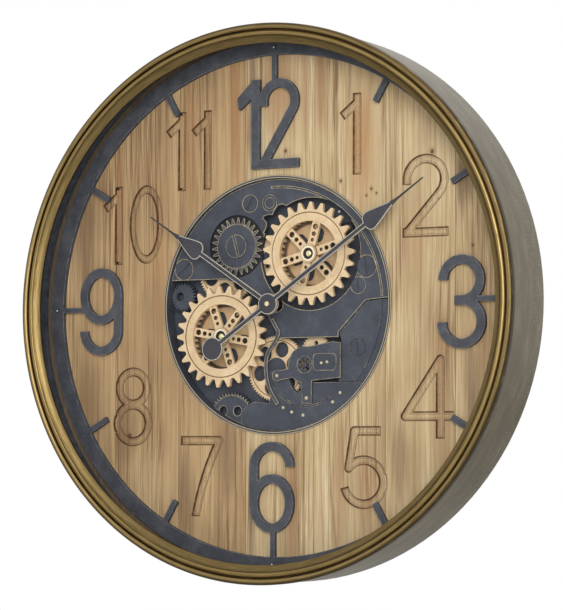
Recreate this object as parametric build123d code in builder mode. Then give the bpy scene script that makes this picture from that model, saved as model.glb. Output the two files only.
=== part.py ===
from build123d import *
from math import acos, asin, atan2, cos, degrees, hypot, pi, radians, sin, tan
import os

# Round wall clock with a boarded dial, a cut metal chapter ring and a plate of turning gears.
# Millimetres. The wall is the plane Y = 0 and the dial faces -Y. X runs to the viewer's right and
# Z up. The origin is on the hand axis. Heights are measured off the wall, towards the viewer.

# Case and bezel
case_radius = 300.5
case_wall = 3.0
case_depth = 75.0
rear_flange_width = 14.0
rear_flange_thickness = 1.5
ledge_height = 18.3
ledge_width = 8.0
ledge_thickness = 2.0
bezel_overhang = 1.0
bezel_bead_radius = 3.5
bezel_bead_rise = 4.5
bezel_groove_width = 1.1
bezel_ridge_width = 5.0
bezel_width = 20.2
bezel_lip_rise = 2.2
bezel_ridge_share = 0.72
bezel_ridge_crown = 0.45
bezel_hollow = 0.7
bezel_lip_thickness = 2.2
bezel_spigot_length = 8.0
bezel_spigot_wall = 3.0

# Back panel and wall hanger
panel_inset = 2.0
panel_thickness = 3.0
panel_opening_room = 3.0
panel_screw_count = 8
panel_screw_bearing = 22.5
panel_screw_radius = 1.6
panel_screw_head_radius = 3.6
panel_screw_head_thickness = 1.4
hanger_inset = 68.5
hanger_width = 70.0
hanger_tall = 34.0
hanger_thickness = 1.5
hanger_corner = 5.0
hanger_screw_reach = 26.6
keyhole_radius = 5.0
keyhole_slot_width = 5.0
keyhole_slot_length = 11.0
keyhole_room = 4.0
bumper_radius = 9.0
bumper_inset = 45.4
bumper_bearing = 36.6

# Dial boards, backing and routed numerals
backing_thickness = 10.0
board_thickness = 6.0
board_seams = [-205.0, -122.0, -36.0, 48.0, 134.0, 216.0]
board_gap = 0.5
dial_clearance = 0.5
routed_depth = 2.0
routed_height = 87.0
routed_stroke = 9.2

# Chapter ring and raised numerals
ring_margin = 9.0
ring_width = 15.8
ring_thickness = 5.0
tick_length = 26.0
tick_width = 6.5
bar_width = 5.6
numeral_stroke = 10.0
numeral_drop = 2.5
numeral_dish_gap = 7.2
three_inset = 47.9
nine_inset = 50.2
bar_overlap = 2.0
ring_pin_radius = 1.2
ring_pin_head_radius = 2.6
ring_pin_head_rise = 1.0

# Gear dish and the plates inside it
dish_rim_width = 1.7
dish_rim_thickness = 1.2
dish_wall = 1.8
gear_room = 6.8
dish_depth = 16.3
dish_floor = 2.5
dish_clearance = 0.4
plate_rise = 8.5
plate_thickness = 5.0
plate_clearance = 0.6
gear_well_room = 5.0
field_inset = 8.7
field_step = 1.0
post_radius = 5.0
plate_screw_radius = 2.0
screw_slot_width = 1.8
screw_slot_depth = 0.9
screw_head_thickness = 1.5
screw_head_gap = 0.5
overlay_thickness = 2.4
rail_width = 4.2
pin_radius = 1.5
pin_rise = 1.2
groove_width = 1.2
relief_gap = 0.3
groove_depth = 0.8

# Side gear, a fixed navy gear in a round pocket
side_gear_place = (-50.4, 65.5)
side_gear_teeth = 26
side_gear_tip_radius = 32.0
side_gear_root_radius = 25.5
side_gear_cap_radius = 24.5
side_gear_thickness = 2.8
side_gear_cap_rise = 1.2
side_pocket_depth = 3.3
side_pocket_radius = 34.5
side_screw_radius = 13.0
side_screw_rise = 1.2

# Turning gears. Fine teeth are of one module.
fine_module = 1.0
fine_play = 0.24
pressure_angle = 20.0
addendum = 0.95
dedendum = 1.2
wheel_teeth = 76
idler_teeth = 70
small_teeth = 34
transfer_teeth = 37
pinion_teeth = 18
lower_place = (-67.2, -33.3)
upper_place = (41.5, 54.2)
left_idler_bearing = 89.6
bottom_idler_bearing = -29.4
small_gear_bearing = 20.7
pinion_bearing = 30.0
wheel_rise = 3.0
wheel_thickness = 4.0
wheel_drum_radius = 37.4
wheel_drum_wall = 1.5
wheel_drum_slots = 36
wheel_hub_radius = 7.0
web_radius = 33.0
web_recess = 2.6
opening_radius = 21.5
opening_length = 16.0
opening_width = 11.5
big_gear_rise = 14.5
big_gear_thickness = 4.0
big_gear_teeth = 25
big_gear_tip_radius = 56.0
big_gear_root_radius = 47.8
big_gear_bore_radius = 35.5
big_gear_line_radius = 44.7
spider_drop = 1.5
spider_thickness = 3.5
spoke_count = 6
spoke_width = 9.6
spoke_holes = [(30.0, 3.0), (22.0, 2.3), (15.3, 1.8)]
upper_spoke_angle = 15.0
lower_spoke_angle = 50.0
hub_radius = 10.0
hub_recess_radius = 6.2
hub_recess_depth = 1.6
hub_rise = 0.6
arbor_radius = 3.0
arbor_tip_radius = 2.0
arbor_tail = 1.5
arbor_collar_radius = 5.5
bush_radius = 5.0
bush_flange_radius = 7.5
bush_flange_thickness = 1.4
running_clearance = 0.05
press_clearance = 0.02
idler_thickness = 3.5
idler_hole_count = 6
idler_hole_radius = 8.5
idler_hole_circle = 21.5
idler_line_radius = 31.0
small_hole_count = 5
line_inset = 1.8
hole_offset = 17.0
stud_head_radius = 5.5
stud_cap_radius = 12.0
stud_end_play = 0.2
stud_head_thickness = 0.7

# Gear motor, its cells and switch
motor_radius = 22.0
motor_thickness = 11.0
motor_shaft_radius = 1.5
motor_lug_reach = 30.0
motor_lug_width = 9.0
motor_lug_thickness = 1.5
motor_hole_room = 0.6
motor_screw_radius = 1.4
motor_screw_head_radius = 2.6
motor_screw_head_thickness = 1.2
cell_radius = 5.2
cell_length = 44.5
cell_nub_radius = 1.9
cell_nub_length = 0.8
holder_wall = 1.5
holder_front_wall = 1.2
holder_place = (0.0, -86.0)
holder_room = 0.3
switch_travel = 3.0
switch_width = 8.0
switch_knob = 4.0
switch_depth = 6.0
switch_recess = 2.5
switch_knob_rise = 1.2
lead_radius = 1.1
lead_gap = 0.3

# Quartz movement and hands
movement_size = 60.0
movement_thickness = 13.5
movement_wall = 1.5
movement_front_wall = 2.0
bay_front_wall = 1.0
movement_cover_thickness = 1.2
movement_bay_height = 15.6
bush_thread_radius = 4.5
bush_thread_length = 20.0
nut_width = 14.0
nut_thickness = 3.0
washer_radius = 10.0
washer_thickness = 1.0
hour_pipe_radius = 3.0
minute_shaft_radius = 2.0
motion_module = 0.40
hour_module = 0.32
motion_pinion_teeth = 16
motion_wheel_teeth = 48
hour_wheel_teeth = 64
motion_play = 0.10
motion_thickness = 1.5
motion_gap = 0.7
knob_grips = 24
motion_arbor_radius = 1.0
knob_radius = 6.0
knob_thickness = 2.0
movement_cell_radius = 7.1
movement_cell_length = 48.5
hand_thickness = 1.7
hour_hand_height = 49.3
hand_spacing = 1.3
hand_hub_radius = 11.5
hand_bar_width = 5.6
hour_hand_length = 182.0
hour_shoulder = 103.0
minute_hand_length = 226.0
minute_shoulder = 142.5
leaf_half_width = 10.6
leaf_share = 0.55
needle_half_width = 0.95
minute_tail = 84.0
tail_paddle_radius = 12.8
hand_cap_radius = 3.0
hand_cap_rise = 0.8
hand_cap_crown = 0.8
hand_tip_half_width = 0.45
hour_hand_angle = 303.6
minute_hand_angle = 55.5

# Radii and heights off the wall that follow from the sizes above
case_bore_radius = case_radius - case_wall
backing_back = ledge_height + ledge_thickness
board_back = backing_back + backing_thickness
wood_front = board_back + board_thickness
ring_front = wood_front + ring_thickness
bezel_lip_radius = case_radius - bezel_width
hanger_height_up = case_radius - hanger_inset
ring_outer_radius = case_bore_radius - ring_margin
ring_inner_radius = ring_outer_radius - ring_width
tick_inner_radius = ring_inner_radius - tick_length
dish_bore_radius = hypot(*lower_place) + big_gear_tip_radius + gear_room
dish_outer_radius = dish_bore_radius + dish_wall
dish_rim_radius = dish_outer_radius + dish_rim_width
dish_hole_radius = dish_outer_radius + dish_clearance
gear_well_radius = big_gear_tip_radius + gear_well_room
numeral_foot = dish_rim_radius + numeral_dish_gap
numeral_height = tick_inner_radius - numeral_foot
floor_front = wood_front - dish_depth
floor_back = floor_front - dish_floor
plate_back = floor_front + plate_rise
plate_front = plate_back + plate_thickness
plate_radius = dish_bore_radius - plate_clearance
side_pocket_floor = plate_front - side_pocket_depth
side_cap_front = side_pocket_floor + side_gear_thickness + side_gear_cap_rise
wheel_back = floor_front + wheel_rise
wheel_front = wheel_back + wheel_thickness
big_gear_back = floor_front + big_gear_rise
big_gear_front = big_gear_back + big_gear_thickness
spider_back = big_gear_back - spider_drop
hub_front = big_gear_front + hub_rise
idler_back = wheel_back + (wheel_thickness - idler_thickness) / 2
idler_front = idler_back + idler_thickness
minute_hand_height = hour_hand_height + hand_thickness + hand_spacing
panel_radius = case_bore_radius - dial_clearance
panel_front = panel_inset + panel_thickness

os.makedirs("parts", exist_ok=True)


def finish(piece, name):
    """Label a finished piece and write it to its own file."""
    piece.part.label = name
    export_step(piece.part, f"parts/{name}.step")


def dial_plane(height, place=(0.0, 0.0)):
    """Plane facing the viewer at a height off the wall, with its origin at a place on the dial."""
    return Plane(origin=(place[0], -height, place[1]), x_dir=(1, 0, 0), z_dir=(0, -1, 0))


def polar(place, distance, bearing):
    """Point at a distance and a bearing in degrees, counted anticlockwise from +X, from a place."""
    return (place[0] + distance * cos(radians(bearing)), place[1] + distance * sin(radians(bearing)))


def bearing_to(start, end):
    """Bearing in degrees from one place on the dial to another."""
    return degrees(atan2(end[1] - start[1], end[0] - start[0]))


def pitch_radius(teeth, module=fine_module):
    """Pitch radius of a gear."""
    return teeth * module / 2


def meshed_phase(teeth, phase, bearing, other_teeth):
    """Bearing of one tooth of a gear that is in mesh with a gear whose tooth stands at phase."""
    return bearing + 180 - (phase - bearing) * teeth / other_teeth - 180 / other_teeth


def involute_points(teeth, module, play, phase):
    """Outline of a spur gear: each flank is an involute held by its root, two middle and tip points."""
    pitch = pitch_radius(teeth, module)
    base = pitch * cos(radians(pressure_angle))
    tip = pitch + addendum * module
    root = pitch - dedendum * module
    start = max(base, root)
    levels = [root, start + (tip - start) * 0.3, start + (tip - start) * 0.68, tip]
    pitch_half = pi / (2 * teeth) - play / (2 * pitch)
    pitch_roll = tan(radians(pressure_angle)) - radians(pressure_angle)
    halves = []
    for level in levels:
        slope = acos(min(1.0, base / max(level, base)))
        halves.append(pitch_half + pitch_roll - (tan(slope) - slope))
    points = []
    for tooth in range(teeth):
        middle = radians(phase) + 2 * pi * tooth / teeth
        for level, half in zip(levels, halves):
            points.append((level * cos(middle - half), level * sin(middle - half)))
        for level, half in zip(reversed(levels), reversed(halves)):
            points.append((level * cos(middle + half), level * sin(middle + half)))
    return points


def bold_tooth_points(teeth, root, tip, phase):
    """Outline of a coarse show gear: each tooth narrows from a broad foot to a small flat tip."""
    pitch = 2 * pi / teeth
    profile = [(root, 0.36), (root + (tip - root) * 0.5, 0.215), (tip - 0.8, 0.125), (tip, 0.085)]
    points = []
    for tooth in range(teeth):
        middle = radians(phase) + pitch * tooth
        for level, share in profile:
            points.append((level * cos(middle - share * pitch), level * sin(middle - share * pitch)))
        for level, share in reversed(profile):
            points.append((level * cos(middle + share * pitch), level * sin(middle + share * pitch)))
    return points


def numeral_face(digit, width, height, stroke):
    """One numeral about its centre: square-ended strokes of one width along lines and arcs, round where they meet."""
    side = (width - stroke) / 2
    top = (height - stroke) / 2
    edge = height / 2
    upper = (0.0, top - side)
    bowl_rise = height * 0.322
    with BuildLine() as run:
        if digit == "1":
            Line((side, -edge), (side, edge))
            rise = stroke / 2 + 2.15 * side
            run_out = width / 2 + side
            lean = degrees(atan2(rise, run_out) - asin(stroke / 2 / hypot(rise, run_out)))
            PolarLine((-side, top - 2.15 * side), width * 1.4, lean)
        elif digit == "2":
            Line((-side, upper[1] - stroke * 0.5), (-side, upper[1]))
            slope = degrees(atan2(side - 2 * top, -side))
            swing_end = slope + degrees(acos(side / hypot(side, 2 * top - side)))
            swing = CenterArc(upper, side, 180, swing_end - 180)
            Line(swing @ 1, (-side, -top))
            Line((-width / 2, -top), (width / 2, -top))
        elif digit == "3":
            small_bowl = top * 0.484
            large_bowl = top - small_bowl
            CenterArc((0, top - small_bowl), small_bowl, 180, -270)
            CenterArc((0, large_bowl - top), large_bowl, 90, -270)
            Line((0, large_bowl - small_bowl), (-stroke * 0.78, large_bowl - small_bowl))
        elif digit == "4":
            stem = width * 0.25
            shelf = -height * 0.235
            Line((stem, -edge), (stem, top))
            Line((stem, top), (-side, shelf))
            Line((-side, shelf), (width / 2, shelf))
        elif digit == "5":
            belly = CenterArc((0, side - top), side, 140, -305)
            corner = (-side * 0.48, top)
            Line(belly @ 0, corner)
            Line(corner, (side * 0.86, top))
        elif digit in "69":
            Line((-side, bowl_rise - edge), (-side, upper[1]))
            CenterArc(upper, side, 180, -180)
        elif digit == "7":
            Line((-width / 2, top), (side, top))
            ThreePointArc((side, top), (side * 0.18, -top * 0.04), (-side * 0.37, -edge - stroke * 0.2))
        elif digit == "8":
            eye = top * 0.46
            CenterArc((0, top - eye), eye, 0, 360)
            CenterArc((0, side - top), side, 0, 360)
    with BuildSketch() as face:
        if digit == "0":
            Ellipse(width / 2, edge)
            Ellipse(width / 2 - stroke * 0.75, edge - stroke * 0.95, mode=Mode.SUBTRACT)
        for part in run.edges():
            trace(part, line_width=stroke)
        if digit in "69":
            with Locations((0, bowl_rise - edge)):
                Ellipse(width / 2, bowl_rise)
                Ellipse(side - stroke / 2, bowl_rise - stroke, mode=Mode.SUBTRACT)
        for spot in run.vertices():
            meeting = [part for part in run.edges() if part.distance_to(spot) < 0.01]
            if len(meeting) > 1:
                with Locations(spot):
                    Circle(stroke / 2)
        Rectangle(width, height, mode=Mode.INTERSECT)
    turned = 180 if digit == "9" else 0
    return face.sketch.rotate(Axis.Z, turned)


# Places of the gear centres and the bearing of a tooth of each, worked along the train.
wheel_pitch = pitch_radius(wheel_teeth)
idler_reach = wheel_pitch + pitch_radius(idler_teeth)
left_idler_place = polar(lower_place, idler_reach, left_idler_bearing)
bottom_idler_place = polar(lower_place, idler_reach, bottom_idler_bearing)
small_reach = pitch_radius(idler_teeth) + pitch_radius(small_teeth)
small_gear_place = polar(bottom_idler_place, small_reach, small_gear_bearing)

# The transfer gear touches the left idler and the upper wheel: the third corner of a triangle.
span_bearing = bearing_to(left_idler_place, upper_place)
span = hypot(upper_place[0] - left_idler_place[0], upper_place[1] - left_idler_place[1])
first_side = pitch_radius(idler_teeth) + pitch_radius(transfer_teeth)
second_side = wheel_pitch + pitch_radius(transfer_teeth)
corner = degrees(acos((span**2 + first_side**2 - second_side**2) / (2 * span * first_side)))
transfer_bearing = span_bearing + corner
transfer_place = polar(left_idler_place, first_side, transfer_bearing)
upper_bearing = bearing_to(transfer_place, upper_place)
pinion_place = polar(upper_place, wheel_pitch + pitch_radius(pinion_teeth), pinion_bearing)

lower_phase = 0.0
left_idler_phase = meshed_phase(wheel_teeth, lower_phase, left_idler_bearing, idler_teeth)
bottom_idler_phase = meshed_phase(wheel_teeth, lower_phase, bottom_idler_bearing, idler_teeth)
small_phase = meshed_phase(idler_teeth, bottom_idler_phase, small_gear_bearing, small_teeth)
transfer_phase = meshed_phase(idler_teeth, left_idler_phase, transfer_bearing, transfer_teeth)
upper_phase = meshed_phase(transfer_teeth, transfer_phase, upper_bearing, wheel_teeth)
pinion_phase = meshed_phase(wheel_teeth, upper_phase, pinion_bearing, pinion_teeth)

# Plate screws: place on the dial and head radius
main_screws = [((-33.9, 112.0), 8.5), ((-118.0, 42.0), 10.5), ((109.6, 38.5), 11.0), ((99.6, 18.5), 8.0)]
lower_right_screws = [((99.6, -47.5), 9.0)]
screw_places = main_screws + lower_right_screws
rosette_place = (36.0, -65.5)
bright_pins = [(9.0, -111.5), (19.6, -116.5), (33.6, -120.0), (78.6, -96.0), (69.6, -106.0)]
hidden_posts = [(31.0, -16.0), bright_pins[1], bright_pins[3]]

# Case: rolled drum with a rear return flange and an inner ledge that carries the dial
with BuildPart() as case_drum:
    with BuildSketch(Plane.XY):
        with BuildLine():
            flange_radius = case_bore_radius - rear_flange_width
            ledge_radius = case_bore_radius - ledge_width
            Polyline(
                (case_radius, 0),
                (case_radius, -case_depth),
                (case_bore_radius, -case_depth),
                (case_bore_radius, -backing_back),
                (ledge_radius, -backing_back),
                (ledge_radius, -ledge_height),
                (case_bore_radius, -ledge_height),
                (case_bore_radius, -rear_flange_thickness),
                (flange_radius, -rear_flange_thickness),
                (flange_radius, 0),
                close=True,
            )
        make_face()
    revolve(axis=Axis.Y)
    with Locations(Plane.XZ):
        with PolarLocations(flange_radius + rear_flange_width / 2, panel_screw_count, panel_screw_bearing):
            Cylinder(panel_screw_radius + dish_clearance / 2, 4 * rear_flange_thickness, mode=Mode.SUBTRACT)
finish(case_drum, "case_drum")

# Bezel: outer bead, groove, inner ridge falling to the lip, and a spigot inside the drum
with BuildPart() as bezel:
    bead_outer = case_radius + bezel_overhang
    bead_middle = bead_outer - bezel_bead_radius
    bead_inner = bead_middle - bezel_bead_radius
    bead_base = case_depth + bezel_bead_rise
    ridge_outer = bead_inner - bezel_groove_width
    ridge_inner = ridge_outer - bezel_ridge_width
    lip_front = case_depth + bezel_lip_rise
    lip_back = lip_front - bezel_lip_thickness
    ridge_front = bead_base + bezel_bead_radius * bezel_ridge_share
    spigot_outer = case_bore_radius - press_clearance
    spigot_inner = spigot_outer - bezel_spigot_wall
    under_front = case_depth + bezel_bead_rise / 2
    with BuildSketch(Plane.XY):
        with BuildLine():
            Line((bead_outer, -case_depth), (bead_outer, -bead_base))
            ThreePointArc(
                (bead_outer, -bead_base),
                (bead_middle, -bead_base - bezel_bead_radius),
                (bead_inner, -bead_base),
            )
            Line((bead_inner, -bead_base), (ridge_outer, -bead_base))
            ThreePointArc(
                (ridge_outer, -bead_base),
                (ridge_outer - bezel_ridge_width * 0.42, -ridge_front - bezel_ridge_crown),
                (ridge_inner, -ridge_front),
            )
            ThreePointArc(
                (ridge_inner, -ridge_front),
                ((ridge_inner + bezel_lip_radius) / 2, -(ridge_front + lip_front) / 2 + bezel_hollow),
                (bezel_lip_radius, -lip_front),
            )
            Polyline(
                (bezel_lip_radius, -lip_front),
                (bezel_lip_radius, -lip_back),
                (bezel_lip_radius + bezel_lip_thickness, -lip_back),
                (ridge_inner, -under_front),
                (spigot_inner, -under_front),
                (spigot_inner, -case_depth + bezel_spigot_length),
                (spigot_outer, -case_depth + bezel_spigot_length),
                (spigot_outer, -case_depth),
                (bead_outer, -case_depth),
            )
        make_face()
    revolve(axis=Axis.Y)
finish(bezel, "bezel")

# Back panel with openings for the movement, the cells and the hanger
movement_opening = movement_size + 2 * panel_opening_room
holder_length = cell_length + cell_nub_length + 2 * (holder_wall + holder_room + 1.0)
holder_pitch = 2 * (cell_radius + holder_room) + holder_room
holder_height = holder_pitch + 2 * (cell_radius + holder_room + holder_wall)
holder_opening = (holder_length + switch_width + 14.0, holder_height + 4.0)
with BuildPart() as back_panel:
    with BuildSketch(dial_plane(panel_inset)):
        Circle(panel_radius)
        Rectangle(movement_opening, movement_opening, mode=Mode.SUBTRACT)
        with Locations((holder_place[0] + switch_width / 2 + panel_opening_room, holder_place[1])):
            Rectangle(*holder_opening, mode=Mode.SUBTRACT)
        with Locations((0, hanger_height_up)):
            Circle(keyhole_radius + keyhole_room, mode=Mode.SUBTRACT)
        with Locations((0, hanger_height_up + keyhole_slot_length / 2)):
            Rectangle(keyhole_slot_width + 2 * keyhole_room, keyhole_slot_length, mode=Mode.SUBTRACT)
        with Locations((0, hanger_height_up + keyhole_slot_length)):
            Circle(keyhole_slot_width / 2 + keyhole_room, mode=Mode.SUBTRACT)
        with PolarLocations(flange_radius + rear_flange_width / 2, panel_screw_count, panel_screw_bearing):
            Circle(panel_screw_radius, mode=Mode.SUBTRACT)
        for side in (-1, 1):
            with Locations((side * hanger_screw_reach, hanger_height_up)):
                Circle(panel_screw_radius, mode=Mode.SUBTRACT)
    extrude(amount=panel_thickness)
    with BuildSketch(dial_plane(rear_flange_thickness)):
        Circle(panel_radius)
        Circle(flange_radius, mode=Mode.SUBTRACT)
        with PolarLocations(flange_radius + rear_flange_width / 2, panel_screw_count, panel_screw_bearing):
            Circle(panel_screw_radius, mode=Mode.SUBTRACT)
    extrude(amount=panel_inset - rear_flange_thickness)
finish(back_panel, "back_panel")

with BuildPart() as back_screws:
    with Locations(Plane.XZ):
        with PolarLocations(flange_radius + rear_flange_width / 2, panel_screw_count, panel_screw_bearing):
            Cylinder(
                panel_screw_radius - press_clearance,
                panel_front,
                align=(Align.CENTER, Align.CENTER, Align.MIN),
            )
    with Locations(Plane.XZ.offset(panel_front)):
        with PolarLocations(flange_radius + rear_flange_width / 2, panel_screw_count, panel_screw_bearing):
            Cylinder(
                panel_screw_head_radius,
                panel_screw_head_thickness,
                align=(Align.CENTER, Align.CENTER, Align.MIN),
            )
    for side in (-1, 1):
        hanger_spot = (side * hanger_screw_reach, hanger_height_up)
        with BuildSketch(dial_plane(panel_inset - hanger_thickness, hanger_spot)):
            Circle(panel_screw_radius - press_clearance)
        extrude(amount=hanger_thickness + panel_thickness)
        with BuildSketch(dial_plane(panel_front, hanger_spot)):
            Circle(panel_screw_head_radius)
        extrude(amount=panel_screw_head_thickness)
finish(back_screws, "back_screws")

with BuildPart() as hanger_plate:
    with BuildSketch(dial_plane(panel_inset - hanger_thickness, (0.0, hanger_height_up))):
        with Locations((0, keyhole_slot_length / 4)):
            RectangleRounded(hanger_width, hanger_tall, hanger_corner)
        Circle(keyhole_radius, mode=Mode.SUBTRACT)
        with Locations((0, keyhole_slot_length / 2)):
            Rectangle(keyhole_slot_width, keyhole_slot_length, mode=Mode.SUBTRACT)
        with Locations((0, keyhole_slot_length)):
            Circle(keyhole_slot_width / 2, mode=Mode.SUBTRACT)
        with Locations((-hanger_screw_reach, 0), (hanger_screw_reach, 0)):
            Circle(panel_screw_radius, mode=Mode.SUBTRACT)
    extrude(amount=hanger_thickness)
finish(hanger_plate, "hanger_plate")

with BuildPart() as wall_bumpers:
    with BuildSketch(dial_plane(0)):
        for side in (-1, 1):
            with Locations(polar((0, 0), panel_radius - bumper_inset, -90 + side * bumper_bearing)):
                Circle(bumper_radius)
    extrude(amount=panel_inset)
finish(wall_bumpers, "wall_bumpers")

# Dial: a round backing and vertical boards, both holed for the gear dish
dial_radius = case_bore_radius - dial_clearance
with BuildPart() as dial_backing:
    with BuildSketch(dial_plane(backing_back)):
        Circle(dial_radius)
        Circle(dish_hole_radius, mode=Mode.SUBTRACT)
    extrude(amount=backing_thickness)
finish(dial_backing, "dial_backing")

# Routed numerals: digit, bearing and inset of the centre from the ring, and width
routed_numerals = [
    ("1", 63.4, 70.3, 27.0),
    ("2", 31.5, 60.4, 53.0),
    ("4", -29.0, 63.5, 61.0),
    ("5", -58.5, 66.2, 56.0),
    ("7", -116.3, 65.2, 53.0),
    ("8", -149.0, 60.3, 50.0),
    ("1", 156.0, 41.4, 27.0),
    ("0", 150.4, 82.0, 43.0),
    ("1", 126.5, 56.8, 27.0),
    ("1", 118.8, 74.7, 27.0),
]
board_edges = [-dial_radius] + board_seams + [dial_radius]
for number in range(len(board_edges) - 1):
    left = board_edges[number] + board_gap / 2
    right = board_edges[number + 1] - board_gap / 2
    with BuildPart() as dial_board:
        with BuildSketch(dial_plane(board_back)):
            Circle(dial_radius)
            with Locations(((left + right) / 2, 0)):
                Rectangle(right - left, 2 * dial_radius, mode=Mode.INTERSECT)
            Circle(dish_hole_radius, mode=Mode.SUBTRACT)
        extrude(amount=board_thickness)
        for digit, bearing, inset, width in routed_numerals:
            place = polar((0, 0), ring_inner_radius - inset, bearing)
            reach = width / 2 + routed_stroke
            if left - reach < place[0] < right + reach:
                with BuildSketch(dial_plane(wood_front - routed_depth, place)):
                    add(numeral_face(digit, width, routed_height, routed_stroke))
                extrude(amount=routed_depth + 1, mode=Mode.SUBTRACT)
    finish(dial_board, f"dial_board_{number + 1}")

# Chapter ring: ring, ticks, bars and the four raised numerals cut from one plate
numeral_reach = (tick_inner_radius + numeral_foot) / 2
raised_numerals = [
    ("1", (-32.4, numeral_reach), 28.4),
    ("2", (5.9, numeral_reach), 49.0),
    ("3", (ring_inner_radius - three_inset, -numeral_drop), 55.8),
    ("6", (-1.7, -numeral_reach), 54.2),
    ("9", (nine_inset - ring_inner_radius, -numeral_drop), 55.0),
]
ring_bars = [(0, 35.5), (90, 36.7), (180, 30.0), (270, 32.7)]
ring_middle_radius = (ring_inner_radius + ring_outer_radius) / 2
ring_pin_places = [polar((0, 0), ring_middle_radius, 90 * turn) for turn in range(4)]
with BuildPart() as chapter_ring:
    with BuildSketch(dial_plane(wood_front)):
        Circle(ring_outer_radius)
        Circle(ring_inner_radius, mode=Mode.SUBTRACT)
        for hour in (1, 2, 4, 5, 7, 8, 10, 11):
            with PolarLocations(ring_inner_radius + (bar_overlap - tick_length) / 2, 1, 30 * hour):
                Rectangle(tick_length + bar_overlap, tick_width)
        for bearing, length in ring_bars:
            with PolarLocations(ring_inner_radius + (bar_overlap - length) / 2, 1, bearing):
                Rectangle(length + bar_overlap, bar_width)
        for digit, place, width in raised_numerals:
            with Locations(place):
                add(numeral_face(digit, width, numeral_height, numeral_stroke))
        with Locations(*ring_pin_places):
            Circle(ring_pin_radius + press_clearance, mode=Mode.SUBTRACT)
    extrude(amount=ring_thickness)
finish(chapter_ring, "chapter_ring")

with BuildPart() as ring_pins:
    with BuildSketch(dial_plane(wood_front)):
        with Locations(*ring_pin_places):
            Circle(ring_pin_radius)
    extrude(amount=ring_thickness)
    with BuildSketch(dial_plane(ring_front)):
        with Locations(*ring_pin_places):
            Circle(ring_pin_head_radius)
    extrude(amount=ring_pin_head_rise, taper=20)
finish(ring_pins, "ring_pins")

# Gear dish: pan, rim on the boards, posts for the plates and holes for shafts and studs
stud_places = [left_idler_place, bottom_idler_place, small_gear_place, transfer_place]
arbor_places = [upper_place, lower_place]
motor_lugs = [polar(pinion_place, motor_lug_reach - motor_lug_width / 2, turn) for turn in (-60, 120)]
with BuildPart() as gear_dish:
    with BuildSketch(dial_plane(floor_back)):
        Circle(dish_outer_radius)
    extrude(amount=wood_front + dish_rim_thickness - floor_back)
    with BuildSketch(dial_plane(wood_front)):
        Circle(dish_rim_radius)
    extrude(amount=dish_rim_thickness)
    with BuildSketch(dial_plane(floor_front)):
        Circle(dish_bore_radius)
    extrude(amount=dish_depth + dish_rim_thickness, mode=Mode.SUBTRACT)
    with BuildSketch(dial_plane(floor_front)):
        with Locations(*[place for place, head in screw_places], *hidden_posts):
            Circle(post_radius)
    extrude(amount=plate_rise)
    with BuildSketch(dial_plane(floor_back)):
        Circle(bush_thread_radius + running_clearance)
        with Locations(*arbor_places):
            Circle(bush_radius + press_clearance)
        with Locations(*stud_places):
            Circle(arbor_radius + press_clearance)
        with Locations(pinion_place):
            Circle(motor_shaft_radius + motor_hole_room)
        with Locations(*motor_lugs):
            Circle(motor_screw_radius + press_clearance)
    extrude(amount=dish_floor, mode=Mode.SUBTRACT)
    with BuildSketch(dial_plane(floor_front)):
        with Locations(*[place for place, head in screw_places]):
            Circle(plate_screw_radius + press_clearance)
    extrude(amount=plate_rise, mode=Mode.SUBTRACT)
finish(gear_dish, "gear_dish")


def screw_holes(screws):
    """Through holes and head recesses for plate screws, as one cutting body."""
    with BuildPart() as cutter:
        for place, head in screws:
            with BuildSketch(dial_plane(plate_back, place)):
                Circle(plate_screw_radius + press_clearance)
            extrude(amount=plate_thickness)
            with BuildSketch(dial_plane(plate_front - screw_head_thickness, place)):
                Circle(head + screw_head_gap)
            extrude(amount=screw_head_thickness)
    return cutter.part


main_screw_holes = screw_holes(main_screws)
lower_right_screw_holes = screw_holes(lower_right_screws)

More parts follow.
